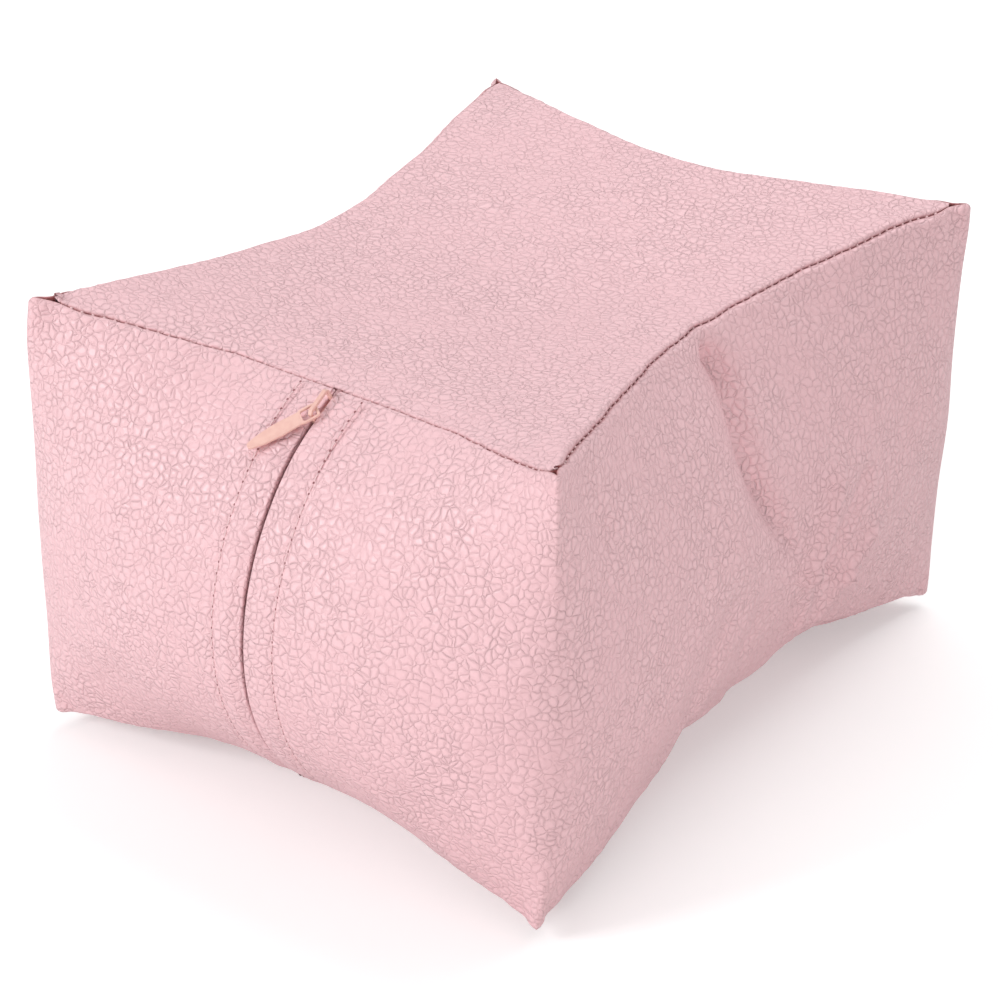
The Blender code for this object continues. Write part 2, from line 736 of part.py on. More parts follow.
def tab_outline():
    """Half outline of the pull tab as (along, across), from the bar's end to the tip."""
    eye_half = EYE_WIDTH / 2
    arm_out = eye_half + TAB_ARM
    neck = TAB_BAR / 2 + EYE_LENGTH + TAB_ARM
    tip = TAB_LENGTH - TAB_BAR / 2
    belly = (tip - neck) * 0.42 + neck
    return [(-TAB_BAR / 2, eye_half), (0, arm_out - TAB_ARM / 4), (TAB_ARM, arm_out),
            (neck - TAB_ARM, arm_out), (neck, arm_out - TAB_ARM / 2), (belly, TAB_WIDTH / 2),
            ((belly + tip) / 2, (TAB_WIDTH + TAB_TIP_WIDTH) / 4 + TAB_ARM / 4),
            (tip - TAB_ARM, TAB_TIP_WIDTH / 2), (tip, TAB_TIP_WIDTH / 4)]


def build_tab(hub, material):
    """Pull tab lying on the leather, turned to the left about the bridge's lower leg."""
    leg = -SLIDER_LENGTH / 2 + TOUCH / 3 + BRIDGE_LEG / 2
    pivot = bpy.data.objects.new("tab_pivot", None)
    pivot.location = (0, -ZipArc.radius - tab_height() - TAB_THICKNESS / 2, leg)
    pivot.parent = hub
    parts.objects.link(pivot)

    half = tab_outline()
    outline = half + [(along, -across) for along, across in reversed(half)]
    eye_half = EYE_WIDTH / 2
    eye_far = TAB_BAR / 2 + EYE_LENGTH
    eye = [(TAB_BAR / 2, -eye_half), (TAB_BAR / 2, eye_half), (eye_far - TAB_ARM / 2, eye_half),
           (eye_far, eye_half - TAB_ARM / 2), (eye_far, -eye_half + TAB_ARM / 2),
           (eye_far - TAB_ARM / 2, -eye_half)]
    curve = bpy.data.curves.new("tab_curve", "CURVE")
    curve.dimensions = "2D"
    curve.fill_mode = "BOTH"
    curve.extrude = TAB_THICKNESS / 2
    for points in (outline, eye):
        spline = curve.splines.new("POLY")
        spline.points.add(len(points) - 1)
        for point, (along, across) in zip(spline.points, points):
            point.co = (across, -along, 0, 1)
        spline.use_cyclic_u = True
    tab = mesh_from_curve("pull_tab", curve)
    tab.data.materials.append(material)
    parts.objects.link(tab)
    tab.parent = pivot

    # In the outline's plane the leg stands in the eye, close to the bar and off to one side
    leg_along = TAB_BAR / 2 + EYE_LENGTH * 0.40
    leg_across = EYE_WIDTH * 0.25
    to_leg = Matrix.Translation((-leg_across, leg_along, 0))
    upright = Matrix.Rotation(math.radians(90), 4, "X")
    lean = Matrix.Rotation(math.radians(TAB_LEAN), 4, "X")
    turn = Matrix.Rotation(math.radians(TAB_SIDE_ANGLE), 4, "Y")
    tab.data.transform(turn @ lean @ upright @ to_leg)
    tab.location = (0, 0, 0)
    return pivot


def thread(name, points, diameter, cyclic, material):
    """Thin thread laid through points."""
    curve = bpy.data.curves.new(name, "CURVE")
    curve.dimensions = "3D"
    curve.bevel_depth = diameter / 2
    curve.bevel_resolution = 0
    curve.use_fill_caps = True
    spline = curve.splines.new("POLY")
    spline.points.add(len(points) - 1)
    for target, point in zip(spline.points, points):
        target.co = (*point, 1)
    spline.use_cyclic_u = cyclic
    curve.materials.append(material)
    line = bpy.data.objects.new(name, curve)
    parts.objects.link(line)
    return line


def build_threads(material):
    """Seam threads in the two grooves, and the topstitching on both sides of the slit."""
    clear = ROLL_RADIUS + SEAM_THREAD / 2 + TOUCH
    lift = math.sqrt(clear ** 2 - (ROLL_RADIUS + TOUCH / 2) ** 2)
    across, along = front_shares(), side_shares()
    ring = [(u, -1) for u in across] + [(1, v) for v in along[1:]]
    ring += [(u, 1) for u in reversed(across[:-1])] + [(-1, v) for v in reversed(along[1:-1])]
    for name, end in (("top_seam_thread", 1), ("bottom_seam_thread", -1)):
        points = [Seam(u, v, end).groove_point(lift) for u, v in ring]
        thread(name, points, SEAM_THREAD, True, material)
    low, high = ZipArc.angle_at(PLACKET_END, -1), ZipArc.angle_at(PLACKET_END, 1)
    angles = [low + (high - low) * step / (SIDE_ROWS - 1) for step in range(SIDE_ROWS)]
    for name, side in (("topstitch_left", -1), ("topstitch_right", 1)):
        x = side * (SLIT_WIDTH / 2 + STITCH_LINE)
        points = [ZipArc.point(x, -STITCH_THREAD / 2 - TOUCH, angle) for angle in angles]
        thread(name, points, STITCH_THREAD, False, material)


def build():
    """Model every piece of the hand rest."""
    for old in list(bpy.data.objects):
        bpy.data.objects.remove(old, do_unlink=True)
    bpy.context.scene.collection.children.link(parts)
    bpy.context.scene.collection.children.link(cutters)

    pink_leather = leather("pink_leather", (0.86, 0.62, 0.64), 0.45)
    pad_cloth = plain_material("pad_cloth", (0.90, 0.88, 0.86), 0.95)
    pink_tape = plain_material("pink_tape", (0.82, 0.56, 0.58), 0.90)
    pink_nylon = plain_material("pink_nylon", (0.84, 0.58, 0.60), 0.50)
    peach_metal = plain_material("peach_metal", (0.86, 0.62, 0.52), 0.35, 0.30)
    pink_thread = plain_material("pink_thread", (0.80, 0.52, 0.56), 0.80)

    build_panel("top_panel", 1, pink_leather)
    build_band(pink_leather)
    build_panel("bottom_panel", -1, pink_leather)
    build_pad(pad_cloth)
    build_chain(-1, "left", pink_tape, pink_nylon)
    build_chain(1, "right", pink_tape, pink_nylon)
    hub = build_slider(peach_metal)
    build_tab(hub, peach_metal)
    build_threads(pink_thread)
    for part in parts.objects:
        if part.parent is None:
            part.location.y += MIDDLE_SHIFT


build()
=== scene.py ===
"""Looks of the manicure hand rest: a stuffed box cushion in pink imitation leather.

Lengths are metres in the frame of the CAD model: +X runs across the zipper end, +Y away from the
zipper and +Z up. Values that the part's source also has carry the same names.
"""

import math

import bmesh
import bpy
import numpy as np
from mathutils import Matrix, Vector
from mathutils.bvhtree import BVHTree


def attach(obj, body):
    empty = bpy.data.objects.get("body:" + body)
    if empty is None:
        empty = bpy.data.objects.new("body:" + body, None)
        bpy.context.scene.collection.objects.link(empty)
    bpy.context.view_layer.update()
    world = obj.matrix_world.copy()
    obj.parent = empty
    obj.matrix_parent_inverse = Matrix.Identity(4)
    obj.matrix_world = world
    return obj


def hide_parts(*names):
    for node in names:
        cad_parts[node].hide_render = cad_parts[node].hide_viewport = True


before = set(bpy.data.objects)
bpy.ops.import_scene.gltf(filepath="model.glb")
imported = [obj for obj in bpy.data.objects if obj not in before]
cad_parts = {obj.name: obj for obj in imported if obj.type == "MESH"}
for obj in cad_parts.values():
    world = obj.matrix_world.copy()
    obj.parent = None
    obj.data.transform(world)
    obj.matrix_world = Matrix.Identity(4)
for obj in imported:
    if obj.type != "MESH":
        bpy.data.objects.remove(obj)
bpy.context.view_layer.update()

# Box of the sewn corners, and how the edges and faces leave it
WIDTH, LENGTH, HEIGHT = 0.183, 0.232, 0.153
HALF_WIDTH, HALF_LENGTH = WIDTH / 2, LENGTH / 2
MIDDLE_SHIFT = 0.0080
TOP_FRONT_DRAW, TOP_RIGHT_DRAW, TOP_BACK_DRAW, TOP_LEFT_DRAW = 0.025, 0.028, 0.024, 0.018
BOTTOM_FRONT_DRAW, BOTTOM_RIGHT_DRAW = 0.0075, 0.006
BOTTOM_BACK_DRAW, BOTTOM_LEFT_DRAW = 0.012, 0.009
TOP_FRONT_SAG, TOP_RIGHT_SAG, TOP_BACK_SAG, TOP_LEFT_SAG = 0.012, 0.010, 0.003, 0.012
BOTTOM_FRONT_RISE, BOTTOM_RIGHT_RISE = 0.016, 0.025
BOTTOM_BACK_RISE, BOTTOM_LEFT_RISE = 0.016, 0.016
FRONT_SWELL, RIGHT_SWELL, BACK_SWELL, LEFT_SWELL, TOP_SWELL = 0.036, 0.012, 0.010, 0.010, 0.005
UPRIGHT_SWELL = 0.007
UNDERSIDE_REACH, UNDERSIDE_POWER = 0.060, 1.2
SEAM_POWER, SEAM_EASE = 1.45, 0.10
UPRIGHT_ROUNDNESS, UPRIGHT_ROUNDNESS_POWER, LEAST_ROUNDNESS = 0.08, 1.55, 1e-3
NEAR_ROUNDNESS_POWER, NEAR_ROUNDNESS_START, NEAR_ROUNDNESS_RAMP = 0.70, -0.1, 0.5
FRONT_BLEND_POWER = 1.3
FLAT_REACH = 0.020
FLAT_SHARE = FLAT_REACH / HALF_WIDTH
VALLEY_DEPTH, VALLEY_WIDTH = 0.006, 0.007
VALLEY_FOOT_DROP, VALLEY_START, VALLEY_AT_SEAM = 0.102, 0.012, 0.2
VALLEY_FAR_SLOPE, VALLEY_NEAR_SLOPE = 1.8, 0.75
VALLEY_BROAD, VALLEY_NARROW, VALLEY_NARROWNESS = 0.70, 0.60, 2.4
RIPPLE_HEIGHT, PUCKER_HEIGHT, PUCKER_REACH = 0.00038, 0.00022, 0.007
TOP_UNEVENNESS, CORNER_FADE_POWER = 0.00035, 12
ZIPPER_CALM, ZIPPER_CALM_RAMP = 0.022, 0.012

# Sheets and seams
LEATHER = 0.0012
ROLL_RADIUS, ROLL_STEPS, ROLL_WAY = 0.0016, 7, 2.2
# ROLL_SHADE: share of the leather's colour kept on each row rolling into a seam; the rest is
# painted shade toward the groove and crevice
ROLL_SHADE = (1.0, 1.0, 0.98, 0.90, 0.62, 0.20, 0.06, 0.03)
BAND_ROLL_LIMIT, PANEL_ROLL_LIMIT = 0.006, 0.0050
PANEL_ROLL_SHARE, PANEL_ROLL_LEAST = 1.35, 0.0004
CREVICE, GROOVE_SHARE = 0.0028, 0.35
EAR_HALF, EAR_BLEND, EAR_DROP = 0.0021, 0.0110, 0.0075
EAR_ZONE, EAR_RAMP, EAR_SAMPLE, EAR_CLOSED, EAR_OPENING = 0.030, 0.010, 0.022, 0.012, 0.004
EAR_GROOVE_DROP, EAR_PANEL_GAP, EAR_EASE, CAP_REACH = 0.0008, 0.0004, 0.002, 0.0022

# Meshes: fine and coarse spacing, reached within the ramp; rows and columns; steps of derivatives
FRONT_SPACING, BAND_SPACING, PANEL_SPACING = (0.0008, 0.0020), (0.0008, 0.0022), (0.0010, 0.0024)
SPACING_RAMP, FACE_ROWS = 0.02, 76
PLACKET_HALF, PLACKET_COLUMNS = 0.0135, 21
TANGENT_STEP, RATE_STEP = 1e-4, 0.02

# Corners in the order front right, back right, back left, front left: length of the ear at the top
# and at the bottom, and how far its line turns from the bisector toward the zipper end's edge
EAR_LENGTHS = {1: (0.0024, 0.0034, 0.0030, 0.0048), -1: (0.0008, 0.0008, 0.0008, 0.0008)}
EAR_TURNS = {1: (0.0, 0.0, 0.0, 0.25), -1: (0.0, 0.0, 0.0, 0.0)}

# Small shifts of the sewn corners off the box, which their rounding and ears bring with them
CORNER_REACH = 0.016
CORNER_SHIFTS = (((-1, -1, 1), (0.0000, 0, -0.0012)), ((-1, 1, 1), (0, 0, -0.0035)),
                 ((1, 1, 1), (0.0020, 0, -0.0027)), ((1, -1, 1), (0, 0, 0.0010)),
                 ((-1, -1, -1), (-0.0006, 0, 0.0038)), ((1, -1, -1), (-0.0017, 0, 0.0034)),
                 ((1, 1, -1), (0.0022, 0, 0.0035)), ((-1, 1, -1), (-0.0020, 0, 0.0035)))
LEFT_UPRIGHT_SHIFT, LEFT_UPRIGHT_REACH = 0.0030, 0.022
FRONT_SEAM_SAG, FRONT_SEAM_REACH = 0.0017, 0.012

# Course of the right side's valley: drop below the corners' height and place along the side
VALLEY_COURSE = ((0.0, 0.0), (0.012, 0.0015), (0.022, 0.0028), (0.033, 0.0010),
                 (0.046, -0.0018), (0.058, -0.0010), (0.070, 0.0024), (0.083, 0.0070),
                 (0.094, 0.0125), (0.108, 0.0210))

# Soft folds of each face: start and end as (along the face, height), height of the fold, width
FOLDS = {
    "right": (
        ((0.035, 0.081), (0.023, 0.042), 0.0034, 0.0028),
        ((0.023, 0.042), (0.028, 0.014), 0.0022, 0.0032),
        ((0.059, 0.047), (0.047, 0.031), 0.0030, 0.0028),
        ((0.047, 0.031), (0.036, 0.012), 0.0024, 0.0032),
        ((0.051, 0.072), (0.035, 0.034), -0.0024, 0.0046),
        ((-0.092, 0.137), (-0.087, 0.124), -0.0022, 0.0075),
        ((-0.022, 0.118), (-0.012, 0.070), 0.0014, 0.0090),
        ((-0.026, 0.052), (-0.040, 0.022), -0.0011, 0.0060),
        ((-0.004, 0.044), (-0.009, 0.026), -0.0010, 0.0045),
        ((-0.103, 0.141), (-0.094, 0.136), -0.0006, 0.0016),
        ((-0.101, 0.133), (-0.092, 0.131), -0.0005, 0.0016),
        ((0.104, 0.132), (0.092, 0.126), -0.0006, 0.0020)),
    "front": (
        ((-0.040, 0.136), (-0.024, 0.128), -0.0026, 0.0150),
        ((0.024, 0.127), (0.052, 0.127), 0.0012, 0.0100),
        ((-0.082, 0.128), (-0.066, 0.121), -0.0007, 0.0050),
        ((0.066, 0.022), (0.052, 0.034), -0.0008, 0.0070),
        ((-0.070, 0.020), (-0.052, 0.036), -0.0009, 0.0070)),
    "left": (
        ((0.020, 0.140), (0.008, 0.075), -0.0030, 0.0075),
        ((-0.050, 0.024), (-0.036, 0.052), -0.0012, 0.0070),
        ((0.046, 0.022), (0.038, 0.050), -0.0012, 0.0060)),
    "back": (
        ((0.016, 0.140), (0.004, 0.085), -0.0022, 0.0080),
        ((-0.046, 0.020), (-0.034, 0.048), -0.0012, 0.0070),
        ((0.040, 0.020), (0.034, 0.044), -0.0010, 0.0060)),
}

# Scallops of the bottom right seam: places along it and how far it rises above its plain curve
SCALLOPS = ((-1.0, 0.0), (-0.62, 0.0004), (-0.50, 0.0013), (-0.40, 0.0022), (-0.365, 0.0034),
            (-0.340, 0.0072), (-0.320, 0.0062), (-0.255, 0.0026), (-0.17, 0.0002), (-0.10, -0.0002),
            (-0.067, 0.0014), (-0.040, 0.0010), (0.04, -0.0009), (0.13, -0.0006), (0.170, 0.0010),
            (0.20, 0.0022), (0.29, 0.0030), (0.43, 0.0038), (0.65, 0.0018), (1.0, 0.0))
SCALLOP_HEIGHT, SCALLOP_REACH = 0.016, 0.020

# Slit of the zipper: half its width, the turned-under lips, and the topstitching beside it
LIP_HALF = 0.00063
FOLD_RADIUS, FOLD_EDGE, FOLD_RUN = 0.00132, 0.00065, 0.0045
SLIT_END, LIP_TAPER = 0.0035, 0.0060
# LIP_SHADE: share of the leather's colour kept where the lips turn under, fading into painted shade
# inside the slit
LIP_STEPS, LIP_SHADE, LIP_REACH = 9, (0.95, 0.30), 0.0025
SLIT_CLOSED, LEAST_FOLD = 0.0001, 0.0003
PLACKET_END, PLACKET_SHARE = 0.0050, 0.24
FACE_END, STITCHES_END = PLACKET_END * 0.6, PLACKET_END * 0.7
STITCH_X = 0.0109
LEFT_LIP_DROP, LEFT_LIP_SLOPE = 0.00065, 0.0050
RIGHT_LIP_RISE, RIGHT_LIP_SLOPE = 0.0002, 0.003
PLACKET_HUMP, PLACKET_HUMP_X, PLACKET_HUMP_WIDTH = 0.00042, 0.0062, 0.0026
STITCH_CHANNEL, STITCH_CHANNEL_WIDTH = 0.00040, 0.0008

# Stitches
STITCH_PITCH, STITCH_LENGTH, STITCH_RADIUS = 0.0034, 0.0028, 0.00030
STITCH_STEPS, STITCH_TAPER, STITCH_DIVE, STITCH_SUNK = 9, 0.35, 0.00055, 0.55
NEEDLE_HOLE, HOLE_SIDES, HOLE_PROUD, HOLE_STRETCH = 0.00034, 10, 0.00004, 1.15
EAR_STITCH_FREE = 0.0115
SEAM_STITCH_PITCH, SEAM_STITCH_LENGTH, SEAM_STITCH_RADIUS = 0.0034, 0.0012, 0.00036
SEAM_STITCH_PROUD, SEAM_STITCH_DIVE = 0.00040, 0.0005

# Zipper chain behind the slit
COIL_X, COIL_DEPTH = 0.00125, 0.0051
COIL_HALF_WIDTH, COIL_HALF_HEIGHT, COIL_WIRE = 0.0010, 0.00062, 0.00026
COIL_PITCH, COIL_STEPS, CHAIN_END = 0.00110, 14, 0.0040
TAPE_DEPTH, TAPE_THICKNESS, TAPE_EDGE, TAPE_FAR = 0.0032, 0.0005, 0.0024, 0.0130
TAPE_ROWS, TAPE_COLUMNS, TAPE_WAVE = 90, 12, 0.00012

# Leather, linear colours: its base, deeper patches, painted shade in the creases, and painted shade
# down in the seams and the slit's lips
LEATHER_COLOUR, LEATHER_DEEP = (0.87, 0.565, 0.598), (0.845, 0.540, 0.573)
CREASE_PAINTED_SHADE, SEAM_PAINTED_SHADE = (0.60, 0.27, 0.28), (0.30, 0.060, 0.058)
LEATHER_SPECULAR, LEATHER_ROUGHNESS = 0.42, 0.42
ROUGHNESS_RANGE, CREASE_ROUGHNESS = (0.37, 0.47), 0.16
# Grain: size of a cell, width of a crease, scale and size of the warps that bend the cells, depth
GRAIN_CELL, GRAIN_CREASE, GRAIN_RANDOMNESS, PILLOW_EDGE = 0.0025, 0.00018, 0.9, 0.32
GRAIN_WARPS = ((150.0, 0.0030), (430.0, 0.0013))
GRAIN_STRENGTH, GRAIN_DEPTH = 1.0, 0.00026
BROAD_SCALE, PATCH_SCALE, PORE_SCALE = 38.0, 260.0, 2100.0
# Relief of the creases and pores, and how far the creases darken with painted shade
CREASE_RELIEF, PORE_RELIEF, CREASE_SHADE_SHARE = 0.55, 0.14, 0.07

# Other materials, linear colours
THREAD_COLOUR = (0.88, 0.60, 0.62)
# Needle holes: painted shade, in dark discs at each hole
HOLE_SHADE_COLOUR, HOLE_SHADE_DEEP = (0.30, 0.12, 0.13), (0.25, 0.09, 0.10)
METAL_COLOUR, METAL_DEEP = (0.84, 0.53, 0.46), (0.80, 0.48, 0.42)
NYLON_COLOUR, NYLON_DEEP = (0.80, 0.50, 0.53), (0.72, 0.43, 0.46)
TAPE_COLOUR, PAD_COLOUR = (0.78, 0.50, 0.53), (0.86, 0.84, 0.81)
FLOOR_COLOUR = (0.86, 0.86, 0.86)

# Light: the world, the floor's own glow for the camera, its half size, and the lamps
# as name, place, aim, size, power and colour
WORLD_LIGHT, FLOOR_LIFT, FLOOR_HALF = 0.50, 0.30, 1.25
LAMPS = (("key", (-0.85, -1.30, 0.85), (0, 0, 0.07), (0.6, 0.6), 14.4, (1.0, 1.0, 1.0)),
         ("top", (0.0, 0.75, 1.5), (0, 0, 0.08), (1.5, 1.2), 12.5, (1.0, 1.0, 1.0)),
         ("fill", (1.10, -0.90, 0.22), (0.02, 0, 0.05), (0.5, 0.4), 3.8, (1.0, 0.88, 0.86)))

# Camera, fitted to the photograph: azimuth, elevation and roll in degrees; metres and pixels
CAMERA_ANGLES = (34.40, 29.60, 1.37)
CAMERA_TARGET, CAMERA_DISTANCE = (-0.00573, MIDDLE_SHIFT, 0.05964), 0.8708
FOCAL_PIXELS, PICTURE_PIXELS, SENSOR = 2708.0, 1001.0, 36.0

# Stuffed pad: inset from its solid, mesh size, furthest swelling, simulation, place behind the skin
PAD_INSET, PAD_VOXEL, PAD_CAP = 0.0018, 0.0050, 0.0012
PAD_PRESSURE, PAD_QUALITY, PAD_FRAMES = 4.0, 4, 20
PAD_CLEARANCE, PAD_SEARCH, OPEN_SHADE = 0.0004, 0.012, 0.97

# Corners as signs of u and v, in the order of the ears
CORNERS = np.array([(1, -1), (1, 1), (-1, 1), (-1, -1)], float)

# Arc of the zipper end as (y, z), without the middle's shift
FOOT = np.array((BOTTOM_FRONT_DRAW - HALF_LENGTH, BOTTOM_FRONT_RISE))
HEAD = np.array((TOP_FRONT_DRAW - HALF_LENGTH, HEIGHT - TOP_FRONT_SAG))
CHORD = HEAD - FOOT
RADIUS = (CHORD @ CHORD / 4 + FRONT_SWELL ** 2) / (2 * FRONT_SWELL)
OUTWARD = np.array((-CHORD[1], CHORD[0])) / np.linalg.norm(CHORD)
CENTRE = (FOOT + HEAD) / 2 - OUTWARD * (RADIUS - FRONT_SWELL)


def lerp(t, low, high):
    return low + (high - low) * (1 + t) / 2


def smooth(t):
    t = np.clip(t, 0.0, 1.0)
    return t * t * (3 - 2 * t)


def seam_curve(s):
    """Share of an edge's draw-in at s, with an eased middle."""
    low = SEAM_EASE ** SEAM_POWER
    power = (s * s + SEAM_EASE ** 2) ** (SEAM_POWER / 2) - low
    return 1 - power / ((1 + SEAM_EASE ** 2) ** (SEAM_POWER / 2) - low)


def swell(s, t):
    return (1 - s * s) * (1 - t * t)


def past_flat(u):
    share = np.maximum(0.0, np.abs(u) - FLAT_SHARE) / (1 - FLAT_SHARE)
    return np.copysign(share, u)


def edge_inset(s, t, low, high, start, end):
    return lerp(t, low, high) * seam_curve(s) + lerp(s, start, end) * seam_curve(t)


def arc_y(z):
    rise = np.minimum(np.abs(z - CENTRE[1]), 0.999 * RADIUS)
    return CENTRE[0] - np.sqrt(RADIUS ** 2 - rise ** 2)


def arc_angle(down, end=1):
    seam = HEAD if end > 0 else FOOT
    return math.asin((seam[1] - CENTRE[1]) / RADIUS) - end * down / RADIUS


def arc_point(x, depth, angle):
    """Point at x, depth below the face, at an angle above the centre of the zipper's arc."""
    reach = RADIUS - depth
    return np.stack(np.broadcast_arrays(
        x, CENTRE[0] + MIDDLE_SHIFT - reach * np.cos(angle), CENTRE[1] + reach * np.sin(angle)), -1)


def front_y(u, w):
    past = past_flat(u)
    z = lerp(w, FOOT[1], HEAD[1])
    edges = edge_inset(past, w, BOTTOM_FRONT_DRAW, TOP_FRONT_DRAW, -UPRIGHT_SWELL, -UPRIGHT_SWELL)
    middle = edge_inset(0.0, w, BOTTOM_FRONT_DRAW, TOP_FRONT_DRAW, -UPRIGHT_SWELL, -UPRIGHT_SWELL)
    blend = np.maximum(0.0, 1 - past ** 2) ** FRONT_BLEND_POWER
    return edges - HALF_LENGTH + (arc_y(z) + HALF_LENGTH - middle) * blend


def back_y(u, w):
    inset = edge_inset(u, w, BOTTOM_BACK_DRAW, TOP_BACK_DRAW, -UPRIGHT_SWELL, -UPRIGHT_SWELL)
    return HALF_LENGTH - inset + BACK_SWELL * swell(u, w)


def valley(v, w):
    """Depth of the right side's valley, with a steeper flank on its far side."""
    drop = (1 - w) * HEIGHT / 2
    share = np.maximum(0.0, drop) / VALLEY_FOOT_DROP
    middle = np.interp(drop, *np.array(VALLEY_COURSE).T)
    across = (v * HALF_LENGTH - middle) / VALLEY_WIDTH
    across = np.where(across > 0, across * VALLEY_FAR_SLOPE, across * VALLEY_NEAR_SLOPE)
    start = VALLEY_AT_SEAM + (1 - VALLEY_AT_SEAM) * np.clip(drop / VALLEY_START, 0, 1) ** 2
    ends = np.maximum(0.0, 1 - share ** 3) * start
    profile = VALLEY_BROAD * np.exp(-across ** 2)
    profile = profile + VALLEY_NARROW * np.exp(-(across * VALLEY_NARROWNESS) ** 2)
    return VALLEY_DEPTH * profile * ends


def stroke(along, height, fold):
    """Height of a soft fold at places of a face."""
    start, end, size, width = fold
    way = (end[0] - start[0], end[1] - start[1])
    length = math.hypot(*way)
    share = ((along - start[0]) * way[0] + (height - start[1]) * way[1]) / length ** 2
    near = np.clip(share, 0, 1)
    away = np.hypot(along - start[0] - near * way[0], height - start[1] - near * way[1])
    return size * np.exp(-(away / width) ** 2)


def folds(face, along, height):
    return sum(stroke(along, height, fold) for fold in FOLDS[face])


def ripples(along, height, phase):
    """Slight unevenness of the stuffing, and puckers that run off the seams."""
    broad = np.sin(along * 95 + phase) * np.sin(height * 118 + 2.1 * phase)
    broad = broad + 0.6 * np.sin(along * 171 - height * 133 + 3.7 * phase)
    edge = np.exp(-(HEIGHT - height) / PUCKER_REACH) + np.exp(-height / PUCKER_REACH)
    pucker = np.sin(along * 690 + 2.6 * np.sin(along * 151 + phase)) * edge
    return RIPPLE_HEIGHT * broad + PUCKER_HEIGHT * pucker


def right_x(v, w):
    inset = edge_inset(v, w, BOTTOM_RIGHT_DRAW, TOP_RIGHT_DRAW, -UPRIGHT_SWELL, -UPRIGHT_SWELL)
    return HALF_WIDTH - inset + RIGHT_SWELL * swell(v, w) - valley(v, w)


def left_x(v, w):
    inset = edge_inset(v, w, BOTTOM_LEFT_DRAW, TOP_LEFT_DRAW, -UPRIGHT_SWELL, -UPRIGHT_SWELL)
    return inset - HALF_WIDTH - LEFT_SWELL * swell(v, w)


def top_z(u, v):
    inset = edge_inset(past_flat(u), v, TOP_FRONT_SAG, TOP_BACK_SAG, TOP_LEFT_SAG, TOP_RIGHT_SAG)
    return HEIGHT - inset + TOP_SWELL * swell(u, v)


def ground_fade(away):
    return np.maximum(0.0, 1 - away / UNDERSIDE_REACH) ** UNDERSIDE_POWER


def underside_z(u, v):
    across, along = seam_curve(past_flat(u)), seam_curve(v)
    rise = BOTTOM_FRONT_RISE * across * ground_fade((1 + v) * HALF_LENGTH)
    rise = rise + BOTTOM_BACK_RISE * across * ground_fade((1 - v) * HALF_LENGTH)
    rise = rise + BOTTOM_LEFT_RISE * along * ground_fade((1 + u) * HALF_WIDTH)
    return rise + BOTTOM_RIGHT_RISE * along * ground_fade((1 - u) * HALF_WIDTH)


def form(u, v, w):
    """Points of the stuffed form with sharp seams; u, v, w run from -1 to +1 over X, Y and Z."""
    u, v, w = np.broadcast_arrays(*(np.asarray(a, float) for a in (u, v, w)))
    height, along, across = (1 + w) * HEIGHT / 2, v * HALF_LENGTH, u * HALF_WIDTH
    larger = np.maximum(np.maximum(np.abs(u), np.abs(v)), 1e-9)
    smaller = np.minimum(np.abs(u), np.abs(v))
    fade = 1 - larger ** CORNER_FADE_POWER * smaller ** CORNER_FADE_POWER
    relief = {face: folds(face, places, height) + ripples(places, height, phase)
              for face, places, phase in (("right", along, 1.0), ("left", along, 2.3),
                                          ("front", across, 3.1), ("back", across, 4.2))}
    right = right_x(v, w) + relief["right"] * fade
    left = left_x(v, w) - relief["left"] * fade
    side = np.where(u > 0, right - HALF_WIDTH, left + HALF_WIDTH)
    x = u * HALF_WIDTH + side * np.abs(past_flat(u))
    beside = smooth((np.abs(across) - ZIPPER_CALM) / ZIPPER_CALM_RAMP) * fade
    front = front_y(u, w) - relief["front"] * beside
    back = back_y(u, w) + relief["back"] * fade
    y = lerp(v, front, back)
    low = underside_z(u, v)
    scallop = np.interp(v, *np.array(SCALLOPS).T) * np.exp(-(height / SCALLOP_HEIGHT) ** 2)
    scallop = scallop * np.exp(-((1 - u) * HALF_WIDTH / SCALLOP_REACH) ** 2)
    uneven = TOP_UNEVENNESS * np.sin(across * 88 + 1.0) * np.sin(along * 79 + 0.4)
    uneven = uneven * (1 - u ** 4) * (1 - v ** 4)
    z = lerp(w, low, top_z(u, v) + uneven) + scallop
    near = smooth((w - NEAR_ROUNDNESS_START) / NEAR_ROUNDNESS_RAMP) * ((u > 0) & (v < 0))
    power = UPRIGHT_ROUNDNESS_POWER + (NEAR_ROUNDNESS_POWER - UPRIGHT_ROUNDNESS_POWER) * near
    softness = UPRIGHT_ROUNDNESS * np.maximum(0.0, 1 - w * w) ** power
    softness = np.maximum(softness, LEAST_ROUNDNESS)
    rounding = (1 + (smaller / larger) ** (1 / softness)) ** -softness
    x, y = x * rounding, y * rounding + MIDDLE_SHIFT
    beside_front = ((1 + v) * HALF_LENGTH) ** 2
    beside_left, below_top = ((1 + u) * HALF_WIDTH) ** 2, (HEIGHT - height) ** 2
    x = x - LEFT_UPRIGHT_SHIFT * np.exp(-(beside_left + beside_front) / LEFT_UPRIGHT_REACH ** 2)
    z = z - FRONT_SEAM_SAG * np.exp(-(below_top + beside_front) / FRONT_SEAM_REACH ** 2)
    points = np.stack((x, y, z), -1)
    for (cu, cv, cw), shift in CORNER_SHIFTS:
        away = ((u - cu) * HALF_WIDTH) ** 2 + ((v - cv) * HALF_LENGTH) ** 2
        away = away + ((w - cw) * HEIGHT / 2) ** 2
        points = points + np.exp(-away / CORNER_REACH ** 2)[..., None] * np.array(shift)
    return points


def unit(a):
    return a / np.maximum(np.linalg.norm(a, axis=-1, keepdims=True), 1e-12)


def dot(a, b):
    return np.sum(a * b, -1, keepdims=True)


def graded(start, end, fine, coarse):
    """Places from start to end whose spacing grows from fine at both ends to coarse."""
    places, here = [start], start
    while here < end:
        near = min(here - start, end - here)
        here += fine + (coarse - fine) * min(1.0, max(0.0, near) / SPACING_RAMP)
        places.append(here)
    places = np.array(places)
    return start + (places - start) * (end - start) / (places[-1] - start)


